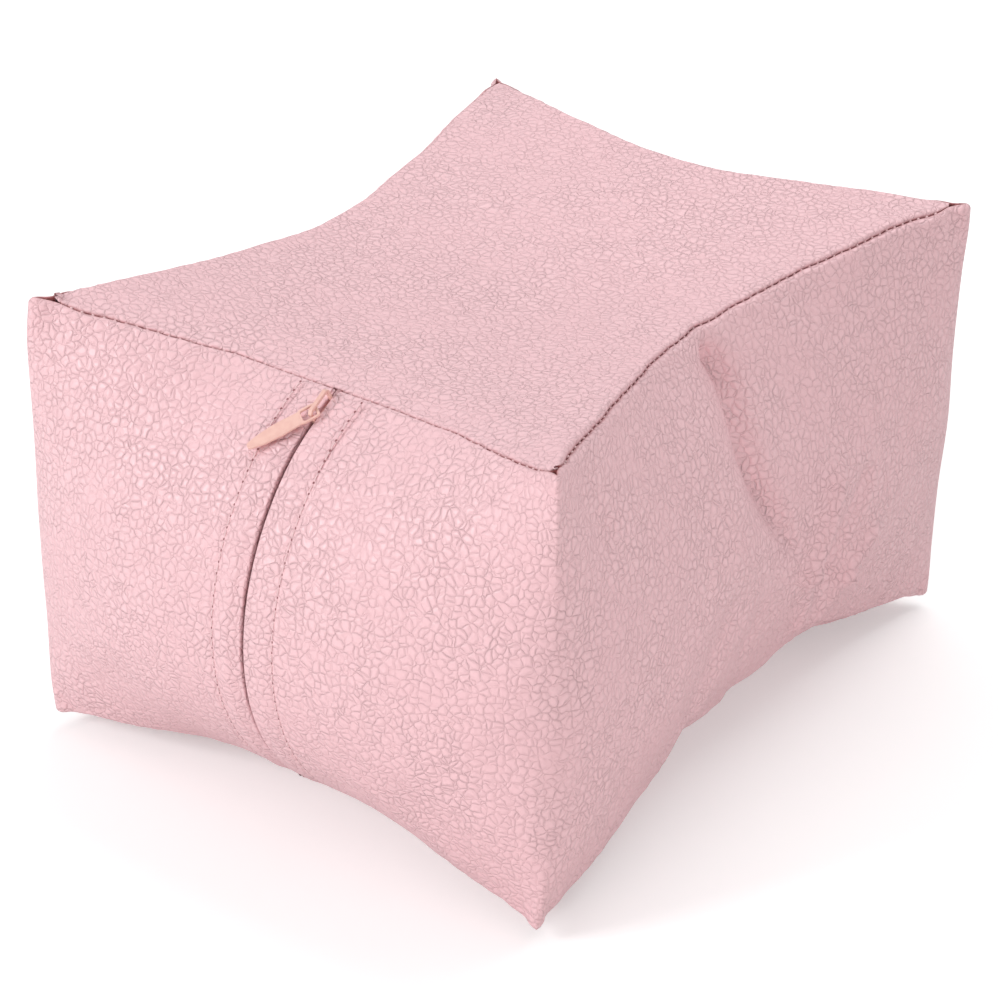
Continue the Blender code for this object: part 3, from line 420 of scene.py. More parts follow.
def ring_stations():
    """(u, v) of the band's columns, from the right lip of the slit round to the left one."""
    near = np.linspace(LIP_HALF + FOLD_EDGE, PLACKET_HALF, PLACKET_COLUMNS)[:-1]
    rest = graded(PLACKET_HALF, HALF_WIDTH, *FRONT_SPACING)
    half_front = np.concatenate((near, rest)) / HALF_WIDTH
    along = graded(-HALF_LENGTH, HALF_LENGTH, *BAND_SPACING) / HALF_LENGTH
    across = graded(-HALF_WIDTH, HALF_WIDTH, *BAND_SPACING) / HALF_WIDTH
    ring = [(u, -1.0) for u in half_front]
    ring += [(1.0, v) for v in along[1:]]
    ring += [(u, 1.0) for u in across[::-1][1:]]
    ring += [(-1.0, v) for v in along[::-1][1:]]
    ring += [(-u, -1.0) for u in half_front[::-1][1:]]
    return np.array(ring)


def seam_frames(ring, end):
    """Sharp seam, ways down the side and into the seam, roll's reach and groove at each station."""
    u, v = ring[:, 0], ring[:, 1]
    corner = form(u, v, end)
    panel_way = form(u * (1 - TANGENT_STEP), v * (1 - TANGENT_STEP * WIDTH / LENGTH), end) - corner
    side_way = form(u, v, end * (1 - TANGENT_STEP)) - corner
    on_front = np.abs(v) == 1
    move = np.where(on_front, TANGENT_STEP, 0), np.where(on_front, 0, TANGENT_STEP)
    tangent = unit(form(np.clip(u + move[0], -1, 1), np.clip(v + move[1], -1, 1), end)
                   - form(np.clip(u - move[0], -1, 1), np.clip(v - move[1], -1, 1), end))
    panel = unit(panel_way - tangent * dot(panel_way, tangent))
    side = unit(side_way - tangent * dot(side_way, tangent))
    half = np.arccos(np.clip(dot(panel, side), -1, 1)) / 2
    reach = ROLL_RADIUS * (1 + np.cos(half)) / np.sin(half)
    middle = unit(panel + side)
    groove = corner + middle * (reach * np.cos(half) + ROLL_RADIUS * np.sin(half)
                                - GROOVE_SHARE * ROLL_RADIUS)
    return corner, side, middle, reach, groove


def corner_axes(end):
    """Tip, ear line, lateral way, slopes of both seams and length of the ear, at each corner."""
    axes = []
    for index, (cu, cv) in enumerate(CORNERS):
        tip = form(cu, cv, end)[:2]
        first = form(cu * (1 - EAR_SAMPLE / HALF_WIDTH), cv, end)[:2] - tip
        second = form(cu, cv * (1 - EAR_SAMPLE / HALF_LENGTH), end)[:2] - tip
        first, second = first / np.linalg.norm(first), second / np.linalg.norm(second)
        turn = EAR_TURNS[end][index]
        diagonal = first * (1 + turn) + second * (1 - turn)
        diagonal = diagonal / np.linalg.norm(diagonal)
        lateral = np.array((-diagonal[1], diagonal[0]))
        if lateral @ first < 0:
            lateral = -lateral
        slopes = [math.tan(math.acos(np.clip(edge @ diagonal, -1, 1)))
                  for edge in (first, second)]
        axes.append((tip, diagonal, lateral, slopes, EAR_LENGTHS[end][index]))
    return axes


def build_seam(ring, end):
    """Groove line, starts of the band's roll, ways into the groove and the roll's reach."""
    corner, side, middle, reach, groove = seam_frames(ring, end)
    start = corner + side * reach
    count = len(ring)
    out_groove, out_start, out_middle = groove.copy(), start.copy(), middle.copy()
    for (cu, cv), (tip, diagonal, lateral, slopes, ear) in zip(CORNERS, corner_axes(end)):
        on_first = (ring[:, 1] == cv) & (ring[:, 0] * cu > 0)
        on_second = (ring[:, 0] == cu) & (ring[:, 1] * cv > 0)
        away = np.full(count, 1.0)
        away = np.where(on_first, (1 - ring[:, 0] * cu) * HALF_WIDTH, away)
        away = np.where(on_second, (1 - ring[:, 1] * cv) * HALF_LENGTH, away)
        near = away < EAR_ZONE
        lies = np.where(on_first, 1.0, -1.0)
        lies[away < 1e-9] = 0
        slope = np.where(on_first, slopes[0], slopes[1])
        ahead = away / np.sqrt(1 + slope ** 2)
        along = EAR_HALF + ahead * (1 - EAR_HALF / EAR_CLOSED)
        opened = smooth((along - ear) / EAR_BLEND)
        plan = tip + diagonal * along[:, None] + lateral * (lies * along * slope * opened)[:, None]
        share = smooth((away - ear - EAR_OPENING) / EAR_RAMP)[:, None]
        plan = groove[:, :2] * share + plan * (1 - share)
        cap = np.clip(away / CAP_REACH, 0, 1) * math.pi / 2
        outward = -diagonal * np.cos(cap)[:, None] + lateral * (np.sin(cap) * lies)[:, None]
        out_side = start[:, :2] - groove[:, :2]
        out_plan = plan + outward * EAR_HALF * (1 - share) + out_side * share
        for target, flat, usual, drop in ((out_groove, plan, groove, EAR_GROOVE_DROP),
                                          (out_start, out_plan, start, EAR_HALF)):
            height = (corner[:, 2] - end * drop) * (1 - share[:, 0]) + usual[:, 2] * share[:, 0]
            target[near, :2] = flat[near]
            target[near, 2] = height[near]
        inward = np.zeros((count, 3))
        inward[:, 2] = -end
        out_middle[near] = unit(inward * (1 - share) + middle * share)[near]
    return out_groove, out_start, out_middle, reach


def roll_rows(edge, way, groove, inward, size):
    """Rows of points that roll from an edge into its groove and on down the crevice."""
    rows = []
    start_way, end_way = way * size, inward * size
    for t in np.linspace(0, 1, ROLL_STEPS + 1)[1:]:
        rows.append((2 * t ** 3 - 3 * t ** 2 + 1) * edge + (t ** 3 - 2 * t ** 2 + t) * start_way
                    + (3 * t ** 2 - 2 * t ** 3) * groove + (t ** 3 - t ** 2) * end_way)
    rows.append(groove + inward * CREVICE)
    return rows


def add_piece(name, points, faces, material=None, shade=None):
    """New smooth mesh object, with how open each point lies to the light, which sets its painted
    shade.
    """
    mesh = bpy.data.meshes.new(name)
    faces = [tuple(int(i) for i in face) for face in faces]
    mesh.from_pydata(np.asarray(points).tolist(), [], faces)
    mesh.shade_smooth()
    if shade is not None:
        layer = mesh.attributes.new("shade", "FLOAT", "POINT")
        layer.data.foreach_set("value", np.asarray(shade, np.float32))
    if material is not None:
        mesh.materials.append(material)
    piece = bpy.data.objects.new(name, mesh)
    bpy.context.scene.collection.objects.link(piece)
    return piece


def thicken(piece, thickness=LEATHER):
    solid = piece.modifiers.new("thickness", "SOLIDIFY")
    solid.thickness = thickness
    solid.offset = -1
    solid.use_quality_normals = True


def grid_faces(rows, columns, close=False):
    index = np.arange(rows * columns).reshape(rows, columns)
    if close:
        index = np.concatenate((index, index[:, :1]), 1)
    corners = (index[:-1, :-1], index[:-1, 1:], index[1:, 1:], index[1:, :-1])
    return np.stack(corners, -1).reshape(-1, 4)


def tubes(name, paths, material, around=8):
    """One object of many rounded threads; a path is its points, side ways, up ways and radii."""
    points, faces, start = [], [], 0
    angles = np.arange(around) * 2 * math.pi / around
    turns = np.cos(angles)[None, :, None], np.sin(angles)[None, :, None]
    for path, side, up, radius in paths:
        radius = radius[:, None, None]
        ring = side[:, None] * turns[0] * radius + up[:, None] * turns[1] * radius
        count = len(path)
        points.append((path[:, None] + ring).reshape(-1, 3))
        faces.append(grid_faces(count, around, close=True) + start)
        for end in (0, count - 1):
            cap = start + end * around + np.arange(around)
            cap = cap[::-1] if end == 0 else cap
            for i in range(1, around - 2, 2):
                faces.append(np.array([[cap[0], cap[i], cap[i + 1], cap[i + 2]]]))
        start += count * around
    return add_piece(name, np.concatenate(points), np.concatenate(faces), material)


def build_band():
    """Points of the band's sheet, how open each lies (its painted shade), and groove lines of the
    low and high seam.
    """
    ring = ring_stations()
    u, v = ring[:, 0], ring[:, 1]
    seams = [build_seam(ring, end) for end in (-1, 1)]
    limits = []
    for end, (_, _, _, reach) in zip((-1, 1), seams):
        way = form(u, v, end) - form(u, v, end * (1 - RATE_STEP))
        rate = np.linalg.norm(way, axis=1) / RATE_STEP
        limits.append(end * (1 - np.minimum(reach[:, 0], BAND_ROLL_LIMIT) / rate))
    low_angle, high_angle = arc_angle(FACE_END, -1), arc_angle(FACE_END, 1)
    angles = low_angle + (high_angle - low_angle) * np.linspace(0, 1, FACE_ROWS)
    turned = (np.sin(angles) - math.sin(low_angle)) / (math.sin(high_angle) - math.sin(low_angle))
    w = limits[0][None, :] + (limits[1] - limits[0])[None, :] * turned[:, None]
    face = form(u[None, :], v[None, :], w)
    fixes = [(start - face[row], np.linalg.norm(face - face[row][None], axis=-1))
             for (_, start, _, _), row in zip(seams, (0, -1))]
    for fix, away in fixes:
        face = face + fix[None] * np.exp(-(away / EAR_DROP) ** 2)[..., None]
    face = shape_placket(face, ring)
    low, high = (roll_rows(face[row], unit(face[row] - face[row_in]), groove, middle,
                           ROLL_RADIUS * ROLL_WAY)
                 for (groove, _, middle, _), row, row_in in zip(seams, (0, -1), (1, -2)))
    points = np.concatenate((np.array(low[::-1]), face, np.array(high)))
    # Painted shade on the rows that roll into both seams' grooves
    rows = np.ones(len(points))
    rows[:ROLL_STEPS + 1] = ROLL_SHADE[::-1]
    rows[-ROLL_STEPS - 1:] = ROLL_SHADE
    points, columns = turn_lips(points)
    lines = [(groove, middle) for groove, _, middle, _ in seams]
    return points, rows[:, None] * columns[None, :], *lines


def placket_height(x, inward):
    """Height of the leather off the zipper's arc beside the slit, inward from the nearer seam."""
    beside = np.abs(x)
    lip = np.where(x > 0, RIGHT_LIP_RISE * np.exp(-(beside / RIGHT_LIP_SLOPE) ** 2),
                   -LEFT_LIP_DROP * (1 - smooth((beside - LIP_HALF) / LEFT_LIP_SLOPE)))
    hump = PLACKET_HUMP * np.exp(-((beside - PLACKET_HUMP_X) / PLACKET_HUMP_WIDTH) ** 2)
    channel = STITCH_CHANNEL * np.exp(-((beside - STITCH_X) / STITCH_CHANNEL_WIDTH) ** 2)
    return (lip + hump - channel) * smooth(inward / PLACKET_END)


def shape_placket(face, ring):
    """Face of the band with its lips, humps and stitched channels beside the slit."""
    inward = np.minimum(*(np.linalg.norm(face - edge, axis=-1) for edge in (face[:1], face[-1:])))
    x = face[..., 0]
    front = (ring[:, 1] == -1) & (np.abs(ring[:, 0]) < PLACKET_SHARE)
    angle = np.arctan2(face[..., 2] - CENTRE[1], CENTRE[0] + MIDDLE_SHIFT - face[..., 1])
    out = np.stack((0 * angle, -np.cos(angle), np.sin(angle)), -1)
    height = np.where(front[None], placket_height(x, inward), 0.0)
    face = face + out * height[..., None]
    lip = LIP_HALF + FOLD_EDGE
    near = np.exp(-((np.abs(x) - lip) / LIP_REACH) ** 2) * front[None]
    narrow = -(LIP_HALF - SLIT_CLOSED) * (1 - smooth(inward / SLIT_END))
    face[..., 0] += np.sign(x) * narrow * near
    return face


def fold_radius(inward):
    return LEAST_FOLD + (FOLD_RADIUS - LEAST_FOLD) * smooth(inward / LIP_TAPER)


def turn_lips(points):
    """Add the columns in which both lips turn under and run back behind the face."""
    middle = points[ROLL_STEPS + 1:-ROLL_STEPS - 1]
    ends = middle[0, 0], middle[-1, 0]
    sides = []
    for column, side in ((0, 1.0), (-1, -1.0)):
        edge = points[:, column]
        inward = np.minimum(*(np.linalg.norm(edge - end, axis=1) for end in ends))
        inward[:ROLL_STEPS + 1] = 0
        inward[-ROLL_STEPS - 1:] = 0
        radius = fold_radius(inward)[:, None]
        upward = unit(np.gradient(edge, axis=0))
        out = unit(np.cross((1.0, 0.0, 0.0), upward))
        across = np.array((side, 0.0, 0.0))
        turned = []
        for angle in np.linspace(0, math.pi, LIP_STEPS)[1:]:
            turned.append(edge - across * math.sin(angle) * FOLD_EDGE
                          - out * (1 - math.cos(angle)) * radius)
        back = turned[-1]
        run = FOLD_RUN * smooth(inward / LIP_TAPER)[:, None]
        for share in (0.33, 0.67, 1.0):
            turned.append(back + across * run * share)
        sides.append(np.stack(turned, 1))
    count = sides[0].shape[1]
    # Painted shade deepens as each lip turns under into the slit
    fade = np.linspace(*LIP_SHADE, count)
    columns = np.concatenate((fade[::-1], np.ones(points.shape[1]), fade))
    return np.concatenate((sides[0][:, ::-1], points, sides[1]), 1), columns


def panel_grid(end):
    """Grid of a panel's points up to where its edges start to roll, drawn in at the ears."""
    across = graded(-HALF_WIDTH, HALF_WIDTH, *PANEL_SPACING) / HALF_WIDTH
    along = graded(-HALF_LENGTH, HALF_LENGTH, *PANEL_SPACING) / HALF_LENGTH

    def inset(u, v):
        reach = seam_frames(np.stack(np.broadcast_arrays(u, v), 1), end)[3]
        return np.minimum(reach[:, 0], PANEL_ROLL_LIMIT)

    left, right = (inset(side, along)[:, None] / HALF_WIDTH for side in (-1.0, 1.0))
    front, back = (inset(across, side)[None, :] / HALF_LENGTH for side in (-1.0, 1.0))
    u, v = np.meshgrid(across, along)
    u_in = u * (1 - np.where(u > 0, right, left))
    v_in = v * (1 - np.where(v > 0, back, front))
    points = form(u_in, v_in, end)
    for tip, diagonal, lateral, slopes, ear in corner_axes(end):
        offset = points[..., :2] - tip
        ahead, aside = offset @ diagonal, offset @ lateral
        slope = np.where(aside > 0, slopes[0], slopes[1])
        first = EAR_HALF / min(slopes) * 0.5
        shift = max(0.0, ear + EAR_PANEL_GAP - first)
        past = np.maximum(ahead - first, 0) / (shift * 1.5 + EAR_EASE)
        moved = ahead + shift * np.exp(-past ** 2)
        old = np.maximum(ahead * slope, 1e-5)
        opened = smooth((moved - ear + EAR_EASE) / EAR_BLEND)
        new = np.maximum(moved * slope * opened - EAR_HALF * 0.6, 0.0)
        aside_new = aside * np.clip(new / old, 0.0, 1.0)
        fade = smooth((EAR_ZONE - ahead) / EAR_RAMP)
        fade = fade * smooth((old * 1.5 - np.abs(aside)) / (old * 0.5))
        plan = tip + diagonal * moved[..., None] + lateral * aside_new[..., None]
        points[..., :2] += (plan - points[..., :2]) * fade[..., None]
    return points


def nearest_on(line, places):
    """Nearest point of a closed polyline to each place, and the number of its stretch."""
    start, way = line, np.roll(line, -1, axis=0) - line
    best = np.empty_like(places)
    picked = np.empty(len(places), int)
    for i, place in enumerate(places):
        share = np.sum((place - start) * way, 1) / np.maximum(np.sum(way * way, 1), 1e-12)
        feet = start + way * np.clip(share, 0, 1)[:, None]
        j = np.argmin(np.sum((feet - place) ** 2, 1))
        best[i], picked[i] = feet[j], j
    return best, picked


def build_panel(name, end, line):
    """Panel sheet: the grid, then rings that roll over into the groove."""
    points = panel_grid(end)
    rows, columns = points.shape[:2]
    index = np.arange(rows * columns).reshape(rows, columns)
    loop = np.concatenate((index[0, :-1], index[:-1, -1], index[-1, :0:-1], index[:0:-1, 0]))
    inner = np.concatenate((index[1, :-1], index[:-1, -2], index[-2, :0:-1], index[:0:-1, 1]))
    flat = points.reshape(-1, 3)
    rim = flat[loop]
    tangent = unit(np.roll(rim, -1, 0) - np.roll(rim, 1, 0))
    way = rim - flat[inner]
    way = unit(way - tangent * dot(way, tangent))
    # Leave out the parts of the groove line that lie in the ears
    groove, middle = line
    inside = np.ones(len(groove), bool)
    for tip, diagonal, lateral, _, ear in corner_axes(end):
        offset = groove[:, :2] - tip
        ahead, aside = offset @ diagonal, np.abs(offset @ lateral)
        inside &= ~((ahead < ear - 0.0002) & (ahead > -0.002) & (aside < 0.02))
    feet, picked = nearest_on(groove[inside], rim)
    gap = np.linalg.norm(feet - rim, axis=1)[:, None]
    size = np.clip(gap * PANEL_ROLL_SHARE, PANEL_ROLL_LEAST, ROLL_RADIUS * ROLL_WAY)
    rings = roll_rows(rim, way, feet, middle[inside][picked], size)
    faces, outer = grid_faces(rows, columns).tolist(), loop
    for number in range(len(rings)):
        ring = len(flat) + number * len(loop) + np.arange(len(loop))
        faces += np.stack((np.roll(outer, -1), outer, ring, np.roll(ring, -1)), -1).tolist()
        outer = ring
    faces = faces if end > 0 else [face[::-1] for face in faces]
    # Painted shade on the rings that roll into the groove
    shade = np.concatenate((np.ones(len(flat)), np.repeat(ROLL_SHADE, len(loop))))
    piece = add_piece(name, np.concatenate([flat, *rings]), faces, shade=shade)
    thicken(piece)
    return piece


def stitch_path(centre, along, up, length, dive, radius):
    """Path of a stitch whose ends dive into the leather."""
    places = np.linspace(-1, 1, STITCH_STEPS)
    sunk = dive * np.abs(places) ** 3
    path = centre + along * (places * length / 2)[:, None] - up * sunk[:, None]
    ways = (np.repeat(way[None], STITCH_STEPS, 0) for way in (np.cross(along, up), up))
    return path, *ways, radius * (1 - STITCH_TAPER * np.abs(places) ** 4)


def build_topstitch(name, x, thread, hole_shade):
    """Stitches beside the slit, in their channel, with dark discs of painted shade for the needle's
    holes at their ends.
    """
    high, low = arc_angle(STITCHES_END, 1), arc_angle(STITCHES_END, -1)
    turns = np.arange(HOLE_SIDES) * 2 * math.pi / HOLE_SIDES
    paths, holes = [], []
    for i in range(int(RADIUS * (high - low) / STITCH_PITCH)):
        angle = high - (i + 0.5) * STITCH_PITCH / RADIUS
        inward = RADIUS * min(high - angle, angle - low) + STITCHES_END
        height = float(placket_height(np.array(x), np.array(inward)))
        up = np.array((0.0, -math.cos(angle), math.sin(angle)))
        along = np.array((0.0, math.sin(angle), math.cos(angle)))
        centre = arc_point(x, -height - STITCH_RADIUS * STITCH_SUNK, angle)
        paths.append(stitch_path(centre, along, up, STITCH_LENGTH, STITCH_DIVE, STITCH_RADIUS))
        side = np.cross(along, up)
        middle = arc_point(x, -height - HOLE_PROUD, angle) + along * STITCH_PITCH / 2
        holes.append(middle + side * (np.cos(turns) * NEEDLE_HOLE)[:, None]
                     + along * (np.sin(turns) * NEEDLE_HOLE * HOLE_STRETCH)[:, None])
    piece = tubes(name, paths, thread)
    piece.data.materials.append(hole_shade)
    work = bmesh.new()
    work.from_mesh(piece.data)
    verts = [work.verts.new(point) for point in np.concatenate(holes)]
    for start in range(0, len(verts), HOLE_SIDES):
        face = work.faces.new(verts[start:start + HOLE_SIDES])
        face.material_index = 1
        if face.normal.dot(Vector((0, -1, 0))) < 0:
            face.normal_flip()
    work.to_mesh(piece.data)
    work.free()
    return piece


def build_seam_stitches(name, line, thread):
    """Threads that show in a seam's groove, one for each stitch."""
    groove, middle = line
    steps = np.linalg.norm(np.roll(groove, -1, 0) - groove, axis=1)
    places = np.concatenate(((0,), np.cumsum(steps[:-1])))

    def found(table, at):
        return np.array([np.interp(at, places, table[:, k]) for k in range(3)])

    paths = []
    tips = [form(cu, cv, 1 if groove[0, 2] > HEIGHT / 2 else -1) for cu, cv in CORNERS]
    for at in np.arange(SEAM_STITCH_PITCH, places[-1] - SEAM_STITCH_PITCH, SEAM_STITCH_PITCH):
        centre = found(groove, at)
        if min(np.linalg.norm(centre - tip) for tip in tips) < EAR_STITCH_FREE:
            continue
        inward = unit(found(middle, at))
        along = unit(found(groove, at + 0.0004) - centre)
        up = unit(-inward - along * dot(-inward, along))
        paths.append(stitch_path(centre + up * SEAM_STITCH_PROUD, along, up, SEAM_STITCH_LENGTH,
                                 SEAM_STITCH_DIVE, SEAM_STITCH_RADIUS))
    return tubes(name, paths, thread)


def build_coil(name, side, nylon):
    """Half of the zipper's chain: a wound nylon coil."""
    high, low = arc_angle(CHAIN_END, 1), arc_angle(CHAIN_END, -1)
    turns = int(RADIUS * (high - low) / COIL_PITCH)
    steps = turns * COIL_STEPS
    angle = np.linspace(low, high, steps)
    turn = np.linspace(0, turns * 2 * math.pi, steps) + (math.pi if side > 0 else 0.0)
    x = side * (COIL_X + COIL_HALF_WIDTH * np.cos(turn))
    depth = COIL_DEPTH + COIL_HALF_HEIGHT * np.sin(turn)
    path = arc_point(x, depth, angle)
    ahead = unit(np.gradient(path, axis=0))
    inward = -np.sin(turn)
    out = np.stack((np.cos(turn) * side, -np.cos(angle) * inward, np.sin(angle) * inward), -1)
    out = unit(out - ahead * dot(out, ahead))
    wound = (path, np.cross(ahead, out), out, np.full(steps, COIL_WIRE))
    return tubes(name, [wound], nylon, around=6)


def build_tape(name, side, cloth):
    """Half of the zipper's woven tape, behind the turned-under lip."""
    high, low = arc_angle(CHAIN_END, 1), arc_angle(CHAIN_END, -1)
    angle = np.linspace(low, high, TAPE_ROWS)[:, None]
    x = np.linspace(TAPE_EDGE, TAPE_FAR, TAPE_COLUMNS)[None, :]
    points = arc_point(side * x, TAPE_DEPTH + TAPE_WAVE * np.sin(angle * 31 + side), angle)
    faces = grid_faces(TAPE_ROWS, TAPE_COLUMNS)
    piece = add_piece(name, points.reshape(-1, 3), faces if side > 0 else faces[:, ::-1], cloth)
    thicken(piece, TAPE_THICKNESS)
    return piece


def rounded_copy(name, node, width, material, segments=2):
    """Copy of a hard node with its flat faces joined and its edges rounded."""
    source = bpy.data.objects[node]
    mesh = bpy.data.meshes.new(name)
    work = bmesh.new()
    work.from_mesh(source.data)
    work.transform(source.matrix_world)
    bmesh.ops.remove_doubles(work, verts=work.verts, dist=1e-6)
    bmesh.ops.dissolve_limit(work, angle_limit=math.radians(2), verts=work.verts, edges=work.edges)
    work.to_mesh(mesh)
    work.free()
    mesh.materials.clear()
    mesh.materials.append(material)
    mesh.shade_smooth()
    piece = bpy.data.objects.new(name, mesh)
    bpy.context.scene.collection.objects.link(piece)
    bevel = piece.modifiers.new("edges", "BEVEL")
    bevel.width, bevel.segments = width, segments
    bevel.limit_method, bevel.angle_limit = "ANGLE", math.radians(28)
    bevel.harden_normals = True
    return piece


def node_material(name, colour, roughness):
    """New material, its nodes and its shader."""
    material = bpy.data.materials.new(name)
    material.use_nodes = True
    shader = material.node_tree.nodes["Principled BSDF"]
    for key, value in (("Base Color", (*colour, 1)), ("Roughness", roughness), ("Metallic", 0.0)):
        shader.inputs[key].default_value = value
    return material, material.node_tree, shader


def add_node(tree, kind, **values):
    """New node with its properties and unlinked inputs set."""
    node = tree.nodes.new(kind)
    for key, value in values.items():
        if hasattr(node, key):
            setattr(node, key, value)
        else:
            node.inputs[key.replace("_", " ")].default_value = value
    return node


def math_node(tree, operation, first, second):
    node = tree.nodes.new("ShaderNodeMath")
    node.operation = operation
    for socket, value in zip(node.inputs, (first, second)):
        if isinstance(value, (int, float)):
            socket.default_value = value
        else:
            tree.links.new(value, socket)
    return node.outputs[0]


def ranged(tree, value, *limits):
    """Value taken smoothly from its low and high limit to two new ones."""
    node = add_node(tree, "ShaderNodeMapRange", interpolation_type="SMOOTHSTEP")
    for key, number in zip(("From Min", "From Max", "To Min", "To Max"), limits):
        node.inputs[key].default_value = number
    tree.links.new(value, node.inputs["Value"])
    return node.outputs["Result"]


def textured(tree, kind, place, **values):
    """Texture node at a place."""
    node = add_node(tree, kind, **values)
    tree.links.new(place, node.inputs["Vector"])
    return node


def noise(tree, place, scale, detail):
    return textured(tree, "ShaderNodeTexNoise", place, Scale=scale, Detail=detail)


def object_place(tree):
    return add_node(tree, "ShaderNodeTexCoord").outputs["Object"]


def mixed(tree, share, first, second, blend="MIX"):
    """Colour mix of two colours or sockets."""
    node = tree.nodes.new("ShaderNodeMix")
    node.data_type, node.blend_type = "RGBA", blend
    for index, value in ((0, share), (6, first), (7, second)):
        if isinstance(value, (int, float)):
            node.inputs[index].default_value = value
        elif isinstance(value, tuple):
            node.inputs[index].default_value = (*value, 1)
        else:
            tree.links.new(value, node.inputs[index])
    return node.outputs[2]


def bumped(tree, shader, height, strength, distance):
    bump = add_node(tree, "ShaderNodeBump", Strength=strength, Distance=distance)
    tree.links.new(height, bump.inputs["Height"])
    tree.links.new(bump.outputs[0], shader.inputs["Normal"])


def leather_material(name, shift):
    """Pebbled imitation leather: pillowed cells with thin creases, painted shade in the creases and
    down in the seams.
    """
    material, tree, shader = node_material(name, LEATHER_COLOUR, LEATHER_ROUGHNESS)
    shader.inputs["Specular IOR Level"].default_value = LEATHER_SPECULAR

    def times(first, second):
        return math_node(tree, "MULTIPLY", first, second)

    mapping = textured(tree, "ShaderNodeMapping", object_place(tree), vector_type="POINT")
    mapping.inputs["Location"].default_value = shift
    place = bent = mapping.outputs[0]
    for scale, size in GRAIN_WARPS:
        warp = noise(tree, place, scale, 1.0)
        shifted = add_node(tree, "ShaderNodeVectorMath", operation="MULTIPLY_ADD")
        tree.links.new(warp.outputs["Color"], shifted.inputs[0])
        shifted.inputs[1].default_value = (size,) * 3
        tree.links.new(bent, shifted.inputs[2])
        bent = shifted.outputs[0]
    cells = textured(tree, "ShaderNodeTexVoronoi", bent, feature="DISTANCE_TO_EDGE",
                     Scale=1 / GRAIN_CELL, Randomness=GRAIN_RANDOMNESS).outputs["Distance"]
    crease = ranged(tree, cells, 0.0, GRAIN_CREASE / GRAIN_CELL, 1.0, 0.0)
    pillow = ranged(tree, cells, 0.0, PILLOW_EDGE, 0.0, 1.0)
    broad = noise(tree, place, BROAD_SCALE, 2.0).outputs["Fac"]
    patchy = noise(tree, place, PATCH_SCALE, 1.0).outputs["Fac"]
    pores = noise(tree, place, PORE_SCALE, 1.0).outputs["Fac"]
    relief = ranged(tree, broad, 0.36, 0.62, 0.80, 1.12)
    crease = times(times(crease, ranged(tree, patchy, 0.30, 0.50, 0.55, 1.0)), relief)
    grain = math_node(tree, "SUBTRACT", times(pillow, relief), times(crease, CREASE_RELIEF))
    height = math_node(tree, "ADD", grain, times(pores, PORE_RELIEF))
    bumped(tree, shader, height, GRAIN_STRENGTH, GRAIN_DEPTH)
    tone = mixed(tree, ranged(tree, broad, 0.3, 0.7, 0.0, 1.0), LEATHER_DEEP, LEATHER_COLOUR)
    # Creases darken with painted shade
    crease_shaded = mixed(tree, times(crease, CREASE_SHADE_SHARE), tone, CREASE_PAINTED_SHADE)
    # Painted shade down in the seams and the turned-under lips, set by each point's shade
    open_share = add_node(tree, "ShaderNodeAttribute", attribute_name="shade").outputs["Fac"]
    tree.links.new(mixed(tree, open_share, SEAM_PAINTED_SHADE, crease_shaded), shader.inputs["Base Color"])
    rough = math_node(tree, "ADD", times(crease, CREASE_ROUGHNESS),
                      ranged(tree, pores, 0.3, 0.7, *ROUGHNESS_RANGE))
    tree.links.new(rough, shader.inputs["Roughness"])
    return material


def woven_material(name, colour, pitch, roughness=0.8, depth=0.00006):
    """Plain weave from two crossed waves, darker where it sinks as painted shade, in a slightly
    uneven colour.
    """
    material, tree, shader = node_material(name, colour, roughness)
    place = object_place(tree)
    waves = [textured(tree, "ShaderNodeTexWave", place, bands_direction=direction,
                      Scale=0.314 / pitch, Distortion=0.6, Detail=1.0).outputs["Fac"]
             for direction in ("X", "Z")]
    fuzz = math_node(tree, "MULTIPLY", noise(tree, place, 900.0, 4.0).outputs["Fac"], 0.5)
    height = math_node(tree, "ADD", math_node(tree, "MULTIPLY", *waves), fuzz)
    bumped(tree, shader, height, 0.8, depth)
    # Painted shade where the weave sinks, with the fuzz's uneven colour
    dark = tuple(channel * 0.72 for channel in colour)
    tree.links.new(mixed(tree, ranged(tree, height, 0.1, 0.9, 0.0, 1.0), dark, colour),
                   shader.inputs["Base Color"])
    shader.inputs["Sheen Weight"].default_value = 0.25
    return material


def twisted_material(name, colour):
    """Twisted polyester thread, with painted shade in the grooves of its twist."""
    material, tree, shader = node_material(name, colour, 0.5)
    wave = textured(tree, "ShaderNodeTexWave", object_place(tree), bands_direction="DIAGONAL",
                    Scale=950.0, Distortion=1.0).outputs["Fac"]
    bumped(tree, shader, wave, 0.6, 0.00005)
    # Painted shade in the grooves of the twist
    dark = tuple(channel * 0.80 for channel in colour)
    tree.links.new(mixed(tree, wave, dark, colour), shader.inputs["Base Color"])
    shader.inputs["Sheen Weight"].default_value = 0.2
    return material


def smooth_material(name, colour, deep, roughness, scale, depth, coat=0.0):
    """Moulded or painted surface with a faintly uneven finish."""
    material, tree, shader = node_material(name, colour, roughness)
    uneven = noise(tree, object_place(tree), scale, 3.0).outputs["Fac"]
    bumped(tree, shader, uneven, 0.5, depth)
    tree.links.new(mixed(tree, ranged(tree, uneven, 0.35, 0.65, 0.0, 1.0), deep, colour),
                   shader.inputs["Base Color"])
    rough = ranged(tree, uneven, 0.3, 0.7, roughness * 0.85, roughness * 1.2)
    tree.links.new(rough, shader.inputs["Roughness"])
    shader.inputs["Coat Weight"].default_value = coat
    shader.inputs["Coat Roughness"].default_value = 0.12
    return material


